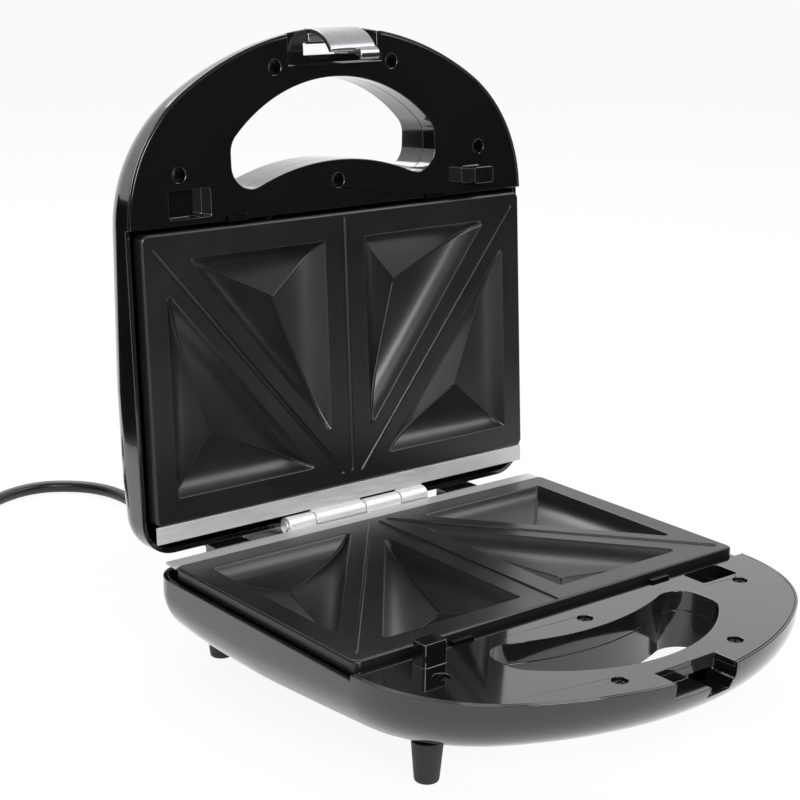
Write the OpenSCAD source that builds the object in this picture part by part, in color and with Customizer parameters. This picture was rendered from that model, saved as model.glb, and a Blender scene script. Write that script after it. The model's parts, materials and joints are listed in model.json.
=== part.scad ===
// Sandwich toaster: two hinged casing halves, each with a ridged plate, and a hook latch on the lid.
// The lid is drawn open. X runs across, -Y points to the handle and Z up.
// The origin is on the table, under the middle of the open toaster's box.
// Each half is drawn about the hinge axis: s is the distance forward of it, so y = -s.

/* [Casing] */
// Width across the casing
case_w = 230; // [200:1:280]
// Reach of the handle's front edge from the hinge axis
front_reach = 231; // [220:1:280]
// Radius of the handle's front edge
front_r = 150; // [140:1:180]
// Radius of the two front corners
corner_r = 70; // [55:1:80]
// Radius of the two rear corners
rear_r = 16; // [10:1:20]
// How far the rear edge lies behind the hinge axis
rear_lip = 2; // [1:0.5:3]
// Depth of one casing half
case_depth = 36; // [32:1:44]
// Rounding of the casing's outer edge
edge_r = 20; // [14:1:20]
// Wall of the casings
wall = 2.4; // [1.8:0.1:3]
// Rise of the casing towards the handle
front_rise = 11; // [4:0.5:11]
// Rise of the casing towards the hinge
rear_rise = 4.5; // [0:0.5:6]
// Height of the casing above the table
foot_clear = 14; // [10:1:18]

/* [Handle] */
// Depth of the cover panels below the mating plane
cover_plane = 3.8; // [2:0.1:4]
// Thickness of the cover panels
cover_t = 2.4; // [1.6:0.1:2.6]
// Width of the casing rim round a cover panel
cover_rim = 1.2; // [0.8:0.1:1.6]
// Thickness of the bar in front of the hand hole
handle_bar = 22.7; // [20:0.1:26]
// Depth of the hand hole at its middle
hole_depth = 38.3; // [30:0.1:40]
// Width of the hand hole
hole_w = 119; // [90:1:125]
// Corner radius of the hand hole
hole_corner = 11; // [6:1:14]

/* [Plates] */
// Rim of the casing beside a plate
side_rim = 4; // [3.6:0.1:6]
// Distance from the hinge axis to a plate
plate_gap = 13.2; // [13:0.1:15]
// Length of a plate from the hinge to the handle
plate_d = 132; // [120:1:138]
// Sheet thickness of a plate
plate_t = 1.6; // [1.2:0.1:2]
// Height of the skirt round a plate
skirt_h = 6; // [5:0.5:7]
// Depth of a pocket's steep border
pocket_lip = 6.2; // [4:0.1:7]
// Fall of a pocket from its border to its deepest point, per mm
pocket_fall = 0.155; // [0.1:0.005:0.2]

/* [Hinge and latch] */
// Opening angle that is drawn
open_angle = 94; // [90:1:95]
// Diameter of the hinge barrel
barrel_d = 8.4; // [8:0.1:9]
// Diameter of the hinge pin
hinge_pin_d = 5; // [4:0.1:5.4]
// Width of the latch
latch_w = 26; // [20:1:28]
// Diameter of the latch pin
latch_pin_d = 2.4; // [2:0.1:3]

/* [Cord] */
// Diameter of the cord
cord_d = 6.8; // [6:0.1:7]
// Mean radius of the outer loop of the coil
coil_r = 42; // [38:1:48]

/* [Hidden] */
$fn = 48;

gap = 0.3;              // between pieces that stand apart
fit = 0.05;             // radial running clearance of pins
seat = 0.1;             // clearance of pieces that seat in a socket
case_half = case_w / 2;
plate_w = case_w - 2 * side_rim;
plate_half = plate_w / 2;
plate_front = plate_gap + plate_d;
plate_plane = 0.3;      // half the gap between the closed plates
side_plane = plate_plane + skirt_h;
panel_s = plate_front + 2;
dome_rear = 50;         // the casing is deepest between these two
dome_front = 100;
hinge_z = case_depth + foot_clear;
open_back = case_depth * sin(open_angle) - dome_front * cos(open_angle);
hinge_y = (front_reach - open_back) / 2;

// ---- casing outline and its rounded bowl ----
corner_x = case_half - corner_r;
tangent_a = asin(corner_x / (front_r - corner_r));
corner_s = front_reach - front_r + (front_r - corner_r) * cos(tangent_a);
front_steps = 7;
corner_steps = 8;
rear_steps = 4;

function depth_at(s) =
    s < dome_rear ? case_depth - rear_rise * pow((dome_rear - s) / (dome_rear + rear_lip), 2)
    : s > dome_front ? case_depth - front_rise * pow((s - dome_front) / (front_reach - dome_front), 1.1)
    : case_depth;

// depth of the casing's flat middle, which runs straight from its deepest point to the front
function roof_at(s) = let (deepest = (dome_rear + dome_front) / 2, reach = front_reach - edge_r)
    case_depth - (case_depth - depth_at(reach)) * (s - deepest) / (reach - deepest);

function half_outline(g) = let (r = max(rear_r - g, 2)) concat(
    [for (i = [0 : front_steps - 1]) let (a = tangent_a * i / front_steps)
        [(front_r - g) * sin(a), front_r - front_reach - (front_r - g) * cos(a)]],
    [for (i = [0 : corner_steps]) let (a = tangent_a + (90 - tangent_a) * i / corner_steps)
        [corner_x + (corner_r - g) * sin(a), -corner_s - (corner_r - g) * cos(a)]],
    [for (i = [1 : 4]) [case_half - g, -corner_s + (corner_s + rear_lip - g - r) * i / 5]],
    [for (i = [0 : rear_steps]) let (a = 90 * i / rear_steps)
        [case_half - g - r + r * cos(a), rear_lip - g - r + r * sin(a)]],
    [[case_half / 2, rear_lip - g], [0, rear_lip - g]]);

function outline(g) = let (h = half_outline(g))
    concat(h, [for (i = [len(h) - 2 : -1 : 1]) [-h[i].x, h[i].y]]);

// rings lie on one another, the last closed by a tip
module stack(rings, tip) {
    n = len(rings[0]);
    last = len(rings) - 1;
    polyhedron(
        points = concat([for (ring = rings) each ring], [tip]),
        faces = concat(
            [[for (j = [n - 1 : -1 : 0]) j]],
            [for (k = [0 : last - 1]) for (j = [0 : n - 1])
                [k * n + j, k * n + (j + 1) % n, (k + 1) * n + (j + 1) % n]],
            [for (k = [0 : last - 1]) for (j = [0 : n - 1])
                [k * n + j, (k + 1) * n + (j + 1) % n, (k + 1) * n + j]],
            [for (j = [0 : n - 1]) [last * n + j, last * n + (j + 1) % n, (last + 1) * n]]),
        convexity = 6);
}

// solid bowl of the casing, its wall moved in by w, cut flat at height top
module bowl(w, top) {
    r = edge_r - w;
    stack(concat(
        [[for (p = outline(w)) [p.x, p.y, top]]],
        [for (a = [0 : 15 : 90])
            [for (p = outline(w + r * (1 - cos(a))))
                [p.x, p.y, edge_r - depth_at(-p.y) - r * sin(a)]]]),
        [0, -(dome_rear + dome_front) / 2, w - case_depth]);
}

// ---- hand hole ----
hole_front_r = 79;
hole_rear_r = 115;
hole_front_s = front_reach - handle_bar;
hole_rear_s = hole_front_s - hole_depth;

module hand_hole(g) {
    offset(r = hole_corner + g) offset(delta = -hole_corner) difference() {
        intersection() {
            translate([0, hole_front_r - hole_front_s]) circle(hole_front_r, $fn = 96);
            translate([-hole_w / 2, -front_reach]) square([hole_w, front_reach]);
        }
        translate([0, hole_rear_r - hole_rear_s]) circle(hole_rear_r, $fn = 96);
    }
}

// ---- places shared by the two halves ----
cover_floor = cover_plane + cover_t;
skirt_seam = 13;        // depth of the seam inside the hand hole
cover_screws = [[0, plate_front + 15], [case_half - 27.5, plate_front + 24.5],
    [27.5 - case_half, plate_front + 24.5], [33.8, front_reach - 17], [-33.8, front_reach - 17]];
peg_x = case_half - 32.5;
peg_s = plate_front + 11.3;
peg_l = 12;
peg_w = 8;
peg_h = 10;
pocket_l = 22;
pocket_w = 13;
clip_x = 58;
peg_pocket_z = 11.5;    // floor of the pocket that takes the other half's peg
peg_pocket_t = 1.5;
cover_back_z = 12;      // foot of the wall under a cover's rear edge
cover_back_t = 2;
clip_w = 11;
screw_r = 1.5;
head_r = 3;
head_h = 1.3;
screw_l = 9;
boss_r = 3.6;
head_recess_r = head_r + 0.4;
pilot_r = screw_r + seat;
hinge_screw_x = 75;
hinge_screw_z = 12;

module at_hinge() {
    translate([0, hinge_y, hinge_z]) children();
}

module on_lid() {
    at_hinge() rotate([-open_angle, 0, 0]) mirror([0, 0, 1]) children();
}

// block between two x and two z, from the handle's front edge back to s
module front_block(x, s, z) {
    translate([x[0], -front_reach - 5, z[0]]) cube([x[1] - x[0], front_reach + 5 - s, z[1] - z[0]]);
}

module both_sides() {
    children();
    mirror([1, 0, 0]) children();
}

// pan head screw, its head under z = 0 and its shank downwards
module screw(length) {
    difference() {
        cylinder(h = head_h, r = head_r);
        for (a = [0, 90]) rotate([0, 0, a]) translate([-2, -0.35, head_h - 0.7]) cube([4, 0.7, 2]);
    }
    translate([0, 0, -length]) cylinder(h = length, r = screw_r);
}

// ---- casing halves ----
// one half: its bowl is hollowed round the bosses, with those of the children among them
module casing_half() {
    difference() {
        bowl(0, -cover_plane);
        difference() {
            bowl(wall, 1);
            for (p = cover_screws) translate([p.x, -p.y, -cover_floor - seat - case_depth])
                cylinder(h = case_depth, r = boss_r);
            translate([0, 0, -skirt_seam - case_depth]) linear_extrude(case_depth) hand_hole(2);
            both_sides() translate([hinge_screw_x - 11, 1.8 - plate_gap, -hinge_screw_z - 4])
                cube([22, plate_gap + rear_lip, 8]);
            both_sides() for (s = [30, plate_front - 25])
                translate([plate_half - 6, -s - 10, -side_plane - 8]) cube([20, 10, 8 - seat]);
            children();
        }
        translate([-case_w, -panel_s, -side_plane]) cube([2 * case_w, front_reach, 20]);
        translate([0, 0, -cover_floor]) linear_extrude(20) polygon(outline(cover_rim));
        translate([0, 0, -2 * case_depth]) linear_extrude(3 * case_depth) hand_hole(0);
        for (p = cover_screws) translate([p.x, -p.y, -cover_floor - 12]) cylinder(h = 20, r = pilot_r);
        both_sides() translate([hinge_screw_x, -plate_gap, -hinge_screw_z]) rotate([-90, 0, 0])
            cylinder(h = 11, r = pilot_r);
    }
}

module cover_half(peg_side) {
    difference() {
        union() {
            translate([0, 0, -cover_floor]) linear_extrude(cover_t) intersection() {
                polygon(outline(cover_rim + 0.15));
                translate([-case_half, -front_reach]) square([case_w, front_reach - panel_s]);
            }
            translate([0, 0, -skirt_seam + seat]) linear_extrude(skirt_seam - cover_plane - seat)
                hand_hole(2);
            translate([0, 0, -cover_back_z]) linear_extrude(cover_back_z - cover_plane) intersection() {
                polygon(outline(side_rim - seat));
                translate([4 - case_half, -panel_s - cover_back_t]) square([case_w - 8, cover_back_t]);
            }
            translate([peg_side * peg_x - peg_l / 2, -peg_s - peg_w / 2, -cover_floor])
                cube([peg_l, peg_w, cover_t + peg_h]);
            translate([-peg_side * peg_x, -peg_s, -peg_pocket_z - peg_pocket_t])
                linear_extrude(peg_pocket_z + peg_pocket_t - cover_plane)
                    square([pocket_l + 2 * peg_pocket_t, pocket_w + 2 * peg_pocket_t], center = true);
        }
        translate([0, 0, -2 * case_depth]) linear_extrude(3 * case_depth) hand_hole(0);
        translate([-peg_side * peg_x - pocket_l / 2, -peg_s - pocket_w / 2, -peg_pocket_z])
            cube([pocket_l, pocket_w, 20]);
        for (p = cover_screws) translate([p.x, -p.y, -cover_floor]) {
            translate([0, 0, -1]) cylinder(h = 4, r = pilot_r);
            translate([0, 0, 0.5]) cylinder(h = 4, r = head_recess_r);
        }
        both_sides() translate([clip_x - clip_w / 2 - 0.5, -panel_s - 3, -13]) cube([clip_w + 1, 5, 20]);
    }
}

module cover_screw_set() {
    for (p = cover_screws) translate([p.x, -p.y, -cover_floor + 0.5]) screw(screw_l);
}

// ---- plates ----
triangle_mid = 11.5;        // handle-side pockets: margins at the middle, front, side and rear
triangle_front = 12.2;
triangle_side = 23;
triangle_rear = 24.8;
back_side = 11.5;           // hinge-side pockets: margins at the side, rear, middle and front
back_rear = 11.2;
back_mid = 20.5;
back_front = 25.2;
diagonal_front = [plate_half - 5, -(plate_front - 6.2)];
diagonal_rear = [5, -(plate_gap + 5.8)];

function pocket_depth(d) = pocket_lip * (1 - exp(-d / 3.6)) + pocket_fall * d;

// a right-angled pocket: corner p, legs a along X and b along Y; g grows it to its outer skin
module pocket(p, a, b, g) {
    r = (abs(a) + abs(b) - norm([a, b])) / 2;
    mid = p + [sign(a) * r, sign(b) * r];
    turn = a * b > 0;
    corners = [p, p + (turn ? [a, 0] : [0, b]), p + (turn ? [0, b] : [a, 0])];
    steps = [0, 1.2, 2.8, 5.5, 10];
    top = g > 0 ? -plate_plane - 0.5 : 1;
    stack(concat(
        [[for (c = corners) let (q = mid + (c - mid) * (r + g) / r) [q.x, q.y, top]]],
        [for (d = steps)
            [for (c = corners) let (q = mid + (c - mid) * (r + g - d) / r)
                [q.x, q.y, -plate_plane - pocket_depth(d) - g - 0.01]]]),
        [mid.x, mid.y, -plate_plane - pocket_depth(r) - g]);
}

module pockets(g) {
    front_w = plate_half - triangle_side - triangle_mid;
    front_d = plate_d - triangle_front - triangle_rear;
    back_w = plate_half - back_side - back_mid;
    back_d = plate_d - back_rear - back_front;
    both_sides() {
        pocket([triangle_mid, triangle_front - plate_front], front_w, front_d, g);
        pocket([plate_half - back_side, -plate_gap - back_rear], -back_w, -back_d, g);
    }
}

function on_diagonal(f) = diagonal_front + (diagonal_rear - diagonal_front) * f;
plate_bosses = [on_diagonal(0.2), on_diagonal(0.8)];
element_z = 16.1;           // depth of the element's middle
element_d = 6.5;
tray_top = element_z + element_d / 2 + 0.05;
tray_t = 0.8;
tray_inset = 12;

module plate_outline(g) {
    offset(r = 3.5 - g) offset(delta = -3.5)
        translate([-plate_half, -plate_front]) square([plate_w, plate_d]);
}

// lines on the plate that press the bread together, w wide, from depth z0 to z1
module press_lines(w, z0, z1) {
    run = diagonal_rear - diagonal_front;
    translate([-w / 2, -plate_front + 1.4, z0]) cube([w, plate_d - 8, z1 - z0]);
    both_sides() translate([diagonal_front.x, diagonal_front.y, z0])
        rotate([0, 0, atan2(run.y, run.x)]) translate([0, -w / 2, 0]) cube([norm(run), w, z1 - z0]);
}

module plate() {
    difference() {
        union() {
            translate([0, 0, -plate_plane - plate_t]) linear_extrude(plate_t) plate_outline(0);
            translate([0, 0, -side_plane]) linear_extrude(skirt_h) difference() {
                plate_outline(0);
                plate_outline(plate_t);
            }
            pockets(plate_t);
            both_sides() for (p = plate_bosses) translate([p.x, p.y, -tray_top])
                cylinder(h = tray_top - plate_plane - 1, r = 4);
        }
        pockets(0);
        both_sides() for (p = plate_bosses) translate([p.x, p.y, -tray_top - 1])
            cylinder(h = 12, r = pilot_r);
    }
}

// tubular element: a loop open at the hinge, its two ends side by side
loop_x = plate_half - 51;
loop_rear = plate_gap + 48.8;
loop_front = plate_front - 27.2;
end_x = 14;
end_s = plate_gap + 13.8;
pin_l = 5.5;
bend_r = 12;

module bend(x, s, turn) {
    translate([x, -s, 0]) rotate([0, 0, turn]) rotate_extrude(angle = 90)
        translate([bend_r, 0]) circle(element_d / 2);
}

module rod(x, s, length, turn, r) {
    translate([x, -s, 0]) rotate([0, 0, turn]) rotate([0, 90, 0]) cylinder(h = length, r = r);
}

module element() {
    e = 0.001;
    translate([0, 0, -element_z]) both_sides() {
        rod(end_x, end_s, loop_rear - bend_r - end_s, -90, element_d / 2);
        bend(end_x + bend_r, loop_rear - bend_r, 180);
        rod(end_x + bend_r - e, loop_rear, loop_x - end_x - 2 * bend_r + 2 * e, 0, element_d / 2);
        bend(loop_x - bend_r, loop_rear + bend_r, 0);
        rod(loop_x, loop_rear + bend_r - e, loop_front - loop_rear - 2 * bend_r + 2 * e, -90, element_d / 2);
        bend(loop_x - bend_r, loop_front - bend_r, -90);
        rod(-e, loop_front, loop_x - bend_r + 2 * e, 0, element_d / 2);
        rod(end_x, end_s - pin_l, pin_l + e, -90, 1.4);
    }
}

module heat_shield() {
    tray_w = plate_w - 2 * tray_inset;
    tray_d = plate_d - 2 * tray_inset;
    difference() {
        translate([-tray_w / 2, tray_inset - plate_front, -tray_top - tray_t])
            cube([tray_w, tray_d, tray_t + 6]);
        translate([tray_t - tray_w / 2, tray_inset + tray_t - plate_front, -tray_top])
            cube([tray_w - 2 * tray_t, tray_d - 2 * tray_t, 20]);
        both_sides() for (p = plate_bosses) translate([p.x, p.y, -tray_top - 5])
            cylinder(h = 10, r = pilot_r);
        both_sides() translate([end_x - 4.5, -plate_gap - 13.5, -tray_top + 0.2]) cube([9, 4, 20]);
    }
}

module plate_screw_set() {
    both_sides() for (p = plate_bosses) translate([p.x, p.y, -tray_top - tray_t]) rotate([180, 0, 0])
        screw(screw_l);
}

// spring clips that hold the plate at the handle side
module plate_clip_set() {
    both_sides() translate([clip_x - clip_w / 2, 0, 0]) {
        translate([0, -panel_s - 2, -11]) cube([clip_w, 0.8, 11 - cover_plane + 1.2]);
        translate([0, -panel_s - 2, -cover_plane + 0.4]) cube([clip_w, 2.6, 0.8]);
    }
}

// ---- hinge ----
leaf_t = 1.4;
leaf_top = 0.9;
leaf_rear = 4.9;
leaf_w = case_w - 9;
base_knuckles = [[-41.5, -25.5], [4.5, 26.5]];
lid_knuckles = [[-25.5, 4.5], [26.5, 43.5]];

module hinge_leaf(knuckles) {
    difference() {
        union() {
            translate([-leaf_w / 2, 0.2 - plate_gap, -leaf_top - leaf_t])
                cube([leaf_w, plate_gap - 0.2 - leaf_rear, leaf_t]);
            both_sides() translate([hinge_screw_x - 13, 0.2 - plate_gap, -hinge_screw_z - 5])
                cube([26, leaf_t, hinge_screw_z + 5 - leaf_top]);
            for (k = knuckles) translate([k[0] + 0.15, 0, 0]) {
                rotate([0, 90, 0]) cylinder(h = k[1] - k[0] - gap, r = barrel_d / 2);
                translate([0, -leaf_rear - 1, -leaf_top - leaf_t])
                    cube([k[1] - k[0] - gap, leaf_rear - 1.8, leaf_t]);
            }
        }
        translate([-case_half, 0, 0]) rotate([0, 90, 0]) cylinder(h = case_w, r = hinge_pin_d / 2 + fit);
        both_sides() translate([hinge_screw_x, -plate_gap - 1, -hinge_screw_z]) rotate([-90, 0, 0])
            cylinder(h = 5, r = pilot_r);
    }
}

module hinge_screw_set() {
    both_sides() translate([hinge_screw_x, 0.2 - plate_gap, -hinge_screw_z]) rotate([90, 0, 0])
        screw(screw_l);
}

// ---- swept tubes ----
function ring_at(p, t, ref, r, n) = let (side = cross(t, ref) / norm(cross(t, ref)), up = cross(side, t))
    [for (j = [0 : n - 1]) let (a = 360 * (j + 0.5) / n) p + r * (cos(a) * side + sin(a) * up)];

function heading(path, i) = let (d = path[min(i + 1, len(path) - 1)] - path[max(i - 1, 0)]) d / norm(d);

module tube(path, r, n, ref) {
    last = len(path) - 1;
    rings = [for (i = [0 : last]) ring_at(path[i], heading(path, i), ref, r, n)];
    polyhedron(
        points = [for (ring = rings) each ring],
        faces = concat(
            [[for (j = [0 : n - 1]) j]],
            [for (k = [0 : last - 1]) for (j = [0 : n - 1])
                [k * n + j, (k + 1) * n + j, (k + 1) * n + (j + 1) % n]],
            [for (k = [0 : last - 1]) for (j = [0 : n - 1])
                [k * n + j, (k + 1) * n + (j + 1) % n, k * n + (j + 1) % n]],
            [[for (j = [n - 1 : -1 : 0]) last * n + j]]),
        convexity = 8);
}

// ---- cord: route of the free stretch on the table, then a coil and a plug ----
cord_route = [[-12, 120, 28], [-12, 128, 28], [-12, 137, 27.4], [-12, 147, 25.4], [-12, 157, 21.6],
    [-12, 167, 16.2], [-12, 177, 10.6], [-12, 187, 6.3], [-12, 197, 4], [-12, 207, 3.5],
    [-12, 223, 3.5], [-12, 239, 3.5], [-12, 255, 3.5], [-11, 271, 3.5], [-11, 286, 3.5],
    [-11, 299, 3.5], [-13, 311, 3.5], [-18, 322, 3.5], [-26, 331, 3.5], [-37, 338, 3.5],
    [-49, 340, 3.5], [-61, 338, 3.5], [-74, 333, 3.5], [-87, 328, 3.5]];
cord_exit = cord_route[0];
coil_start = cord_route[len(cord_route) - 1];
coil_from = coil_start - cord_route[len(cord_route) - 2];
coil_heading = atan2(coil_from.y, coil_from.x);
coil_pitch = cord_d + 2.2;  // a loop beside the next
coil_lift = cord_d + 0.6;   // a layer above the next
coil_spiral = 0.75;         // turns that spiral in, and out again
coil_turns = 2 * coil_spiral + 0.5;
coil_lead = cord_d;
coil_tail = 16;
coil_way = [cos(coil_heading), sin(coil_heading), 0];
coil_side = [-sin(coil_heading), cos(coil_heading), 0];
coil_in = coil_start + coil_lead * coil_way;
coil_mid = coil_in - coil_r * coil_side;
coil_out = coil_in + [0, 0, coil_lift];
coil_end = coil_out + coil_tail * coil_way;

function ease(t) = let (u = min(max(t, 0), 1)) u * u * (3 - 2 * u);
function coil_radius(t) = coil_r - coil_pitch * (coil_spiral - max(0, abs(t - coil_turns / 2) - 0.25));
function coil_point(t) = let (a = coil_heading + 90 - 360 * t, h = coil_lift * ease((t - coil_spiral) * 2))
    coil_mid + [coil_radius(t) * cos(a), coil_radius(t) * sin(a), h];

coil_loop = [for (i = [0 : 24 * coil_turns]) coil_point(i / 24)];
coil_path = concat([coil_start], coil_loop, [coil_out + coil_lead * coil_way, coil_end]);
coil_gap = min([for (i = [0 : len(coil_loop) - 1]) for (j = [i + 12 : 1 : len(coil_loop) - 1])
    norm(coil_loop[j] - coil_loop[i])]) - cord_d;
echo(coil_gap = coil_gap);

plug_l = 34;
plug_w = 26;
plug_h = 2 * (coil_end.z - 0.3);
neck_l = 22;
blade_l = 16;

module at_plug() {
    translate(coil_end) rotate([0, 0, coil_heading]) children();
}

// ---- latch and catch, in the closed toaster's frame ----
latch_x = [1 - latch_w / 2, 1 + latch_w / 2];
lip_x = [3, latch_x[1]];
latch_s = front_reach - 5;      // pivot, forward of the hinge
latch_z = 9;                    // pivot, above the mating plane
latch_bow_r = 17.5;
latch_t = 2.2;
catch_s = front_reach - 13.5;   // face of the catch
catch_z = 11;                   // underside of the catch
notch_x = [-18, 17];
slot_x = [2.4, 16];
slot_s = catch_s - 3.5;
slot_z = 16;
recess_x = [-26, 28];
recess_s = front_reach - 16.5;
window_x = [-15, 15];           // the lid is open behind the latch
window_s = [front_reach - 12.5, front_reach - 7];

function grown(range, g) = [range[0] - g, range[1] + g];

// side view of the latch's hook, along s from the catch and upwards
hook = [[-4, -8.6], [-1.2, -8.2], [-0.5, -9], [-0.5, -catch_z - gap], [1.5, -catch_z - gap],
    [1.2, -catch_z - 1.6], [-0.6, -catch_z - 2], [-2.6, -catch_z - 1.4], [-4, -catch_z + 0.6]];

// ---- modules of the base ----
foot_front = [case_half - 26, plate_front + 18.8];
foot_rear = [case_half - 29, 12];
foot_r = 6.7;
foot_peg_r = 2.5;

function foot_top(p) = max(depth_at(p.y - foot_r), depth_at(p.y + foot_r)) + gap;

relief_x = cord_exit.x;
relief_z = cord_exit.z - hinge_z;
relief_end = cord_exit.y - hinge_y;
clamp_s = 18;
clamp_t = 4;
clamp_x = [relief_x - 9, relief_x + 9];
relief_r = 4.7;         // where it passes the wall
relief_seat_r = 5.8;
block_s = 18;
block_x = -44;
block_z = 12 - case_depth;
wire_r = 1.2;

module base_shell() {
    color("#151515") at_hinge() difference() {
        union() {
            casing_half() {
                both_sides() for (p = [foot_front, foot_rear])
                    translate([p.x, -p.y, -case_depth - 5]) cylinder(h = 16, r = foot_r + 0.8);
                front_block(grown(notch_x, 3), catch_s - 6.5, [-case_depth, 0]);
                translate([relief_x, -8, relief_z]) rotate([-90, 0, 0]) cylinder(h = 20, r = 8);
                for (x = clamp_x) translate([x, -clamp_s, -2 * case_depth])
                    cylinder(h = 2 * case_depth + relief_z, r = 2.6);
                translate([block_x - 9, -block_s - 7, -case_depth - 5]) cube([18, 14, 12]);
            }
            both_sides() for (p = [foot_front, foot_rear]) translate([p.x, -p.y, -foot_top(p)])
                cylinder(h = 6, r = foot_r + 0.8);
            both_sides() translate([60, rear_lip - 1.5, -12]) cube([20, 9, 9]);
        }
        front_block(notch_x, catch_s, [-catch_z, 20 - catch_z]);
        front_block(slot_x, slot_s, [-slot_z, 1 - catch_z]);
        both_sides() for (p = [foot_front, foot_rear]) translate([p.x, -p.y, -foot_top(p) - 5])
            cylinder(h = 10, r = foot_peg_r + seat);
        translate([relief_x, -30, relief_z]) rotate([-90, 0, 0]) cylinder(h = 60, r = relief_r + seat);
        translate([relief_x, -2.5, relief_z]) rotate([-90, 0, 0])
            cylinder(h = 20, r = relief_seat_r + seat);
        for (x = clamp_x) translate([x, -clamp_s, relief_z - 8]) cylinder(h = 20, r = 1 + seat);
    }
}

module base_cover() {
    color("#1c1c1c") at_hinge() difference() {
        cover_half(-1);
        front_block(notch_x, catch_s, [-20, 20]);
    }
}

module lower_plate() {
    color("#2b2b2b") at_hinge() difference() {
        union() {
            plate();
            press_lines(1.6, -plate_plane - 0.4, -plate_plane + 0.7);
        }
        pockets(0);
    }
}

module lower_element() {
    color("#8c8c88") at_hinge() element();
}

module lower_heat_shield() {
    color("#b4b6b8") at_hinge() heat_shield();
}

module thermostat() {
    under_plate = [0, 45 - plate_front, -plate_plane - plate_t - seat];
    color("#cfc9b8") at_hinge() translate(under_plate) mirror([0, 0, 1]) {
        cylinder(h = 6, r = 8);
        cylinder(h = 10, r = 5.5);
        for (x = [-6.5, 6.5]) translate([x - 0.4, -2.4, 5]) cube([0.8, 4.8, 8]);
    }
}

module thermal_fuse() {
    color("#d8d2c0") at_hinge() translate([0, -loop_rear + 4, -plate_plane - plate_t - seat - 2])
        rotate([-90, 0, 0]) {
            cylinder(h = 12, r = 2);
            translate([0, 0, -3]) cylinder(h = 18, r = 0.5);
        }
}

module terminal_block() {
    color("#e4e0d4") at_hinge() difference() {
        translate([block_x - 8, -block_s - 6, block_z - 5 + seat]) cube([16, 12, 10]);
        for (x = [-4, 4]) translate([block_x + x, -block_s - 10, block_z]) rotate([-90, 0, 0])
            cylinder(h = 20, r = wire_r + 0.5);
    }
}

// wire from the cord's end into the block, wire 1 inside wire -1
function feed_wire(k) = [
    [relief_x - 1.7 * k, -24.2, relief_z], [relief_x - 1.7 * k - 1, -27.5, relief_z - 0.8],
    [relief_x - 8, -32.2 + 1.8 * k, block_z], [block_x + 13, -32.2 + 1.8 * k, block_z],
    [block_x + 4 * k + 2, -30 + 1.6 * k, block_z], [block_x + 4 * k, -26.5, block_z],
    [block_x + 4 * k, -block_s - 0.5, block_z]];

// wires from the block to the two ends of the element
near_wire = [[block_x + 4, -block_s, block_z], [block_x + 4, -12, block_z],
    [block_x + 5.5, -9.4, block_z + 2], [block_x + 10, -9, block_z + 5.5],
    [block_x + 16, -10.8, -element_z - 0.4], [-21, -12.7, -element_z], [-17.5, -13, -element_z],
    [-end_x - 0.8, -15, -element_z], [-end_x, -18, -element_z],
    [-end_x, 0.2 + pin_l - end_s, -element_z]];
far_wire = [[block_x - 4, -block_s, block_z], [block_x - 4, -12, block_z],
    [block_x - 3, -9.2, block_z + 2.5], [block_x + 1, -8.8, block_z + 7], [block_x + 9, -9.6, -13.2],
    [-22, -12.7, -12.8], [-4, -12.7, -12.8],
    [6, -12.8, -13.4], [end_x - 2, -14.8, 0.7 - element_z], [end_x, -18, -element_z],
    [end_x, 0.2 + pin_l - end_s, -element_z]];

module base_wiring() {
    color("#202020") at_hinge() {
        tube([for (y = [-10.5, -15, -20, -24]) [relief_x, y, relief_z]], cord_d / 2 - 0.2, 10, [0, 0, 1]);
        for (k = [-1, 1]) tube(feed_wire(k), wire_r, 6, [0, 0, 1]);
        tube(near_wire, wire_r, 6, [1, 1, -2]);
        tube(far_wire, wire_r, 6, [1, 1, -2]);
    }
}

module base_hinge_leaf() {
    color("#c9cacb") at_hinge() hinge_leaf(base_knuckles);
}

module hinge_pin() {
    color("#b9babb") at_hinge() translate([base_knuckles[0][0] - 0.5, 0, 0]) rotate([0, 90, 0])
        cylinder(h = lid_knuckles[1][1] - base_knuckles[0][0] + 1, r = hinge_pin_d / 2);
}

module foot(p) {
    h = hinge_z - foot_top(p);
    translate([p.x, -p.y, -hinge_z]) {
        rotate_extrude() polygon([[0, 0], [4.2, 0], [4.9, 0.3], [5.2, 1], [foot_r, h], [0, h]]);
        translate([0, 0, h]) cylinder(h = 4, r = foot_peg_r);
    }
}

module front_feet() {
    color("#131313") at_hinge() both_sides() foot(foot_front);
}

module rear_feet() {
    color("#131313") at_hinge() both_sides() foot(foot_rear);
}

module strain_relief() {
    color("#161616") at_hinge() translate([relief_x, 0, relief_z]) rotate([-90, 0, 0]) {
        translate([0, 0, -10.3]) cylinder(h = 2, r = 5.5);
        translate([0, 0, -8.4]) cylinder(h = 6.5, r = relief_r);
        translate([0, 0, -2.4]) cylinder(h = relief_end + 2.4, r1 = relief_seat_r - seat, r2 = 4.3);
    }
}

module cord_clamp() {
    color("#dedacb") at_hinge() translate([relief_x, -clamp_s, relief_z]) difference() {
        translate([-12, -3, seat]) cube([24, 6, clamp_t]);
        rotate([90, 0, 0]) translate([0, 0, -5]) cylinder(h = 10, r = cord_d / 2);
        for (x = [-9, 9]) translate([x, 0, -1]) cylinder(h = 10, r = 1 + seat);
    }
}

module clamp_screws() {
    color("#a8a9aa") at_hinge() for (x = clamp_x) translate([x, -clamp_s, relief_z + clamp_t + seat]) {
        cylinder(h = 1.4, r = 2.2);
        translate([0, 0, -11]) cylinder(h = 11, r = 1);
    }
}

module base_cover_screws() {
    color("#8f9091") at_hinge() cover_screw_set();
}

module lower_plate_screws() {
    color("#a8a9aa") at_hinge() plate_screw_set();
}

module base_hinge_screws() {
    color("#a8a9aa") at_hinge() hinge_screw_set();
}

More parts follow.
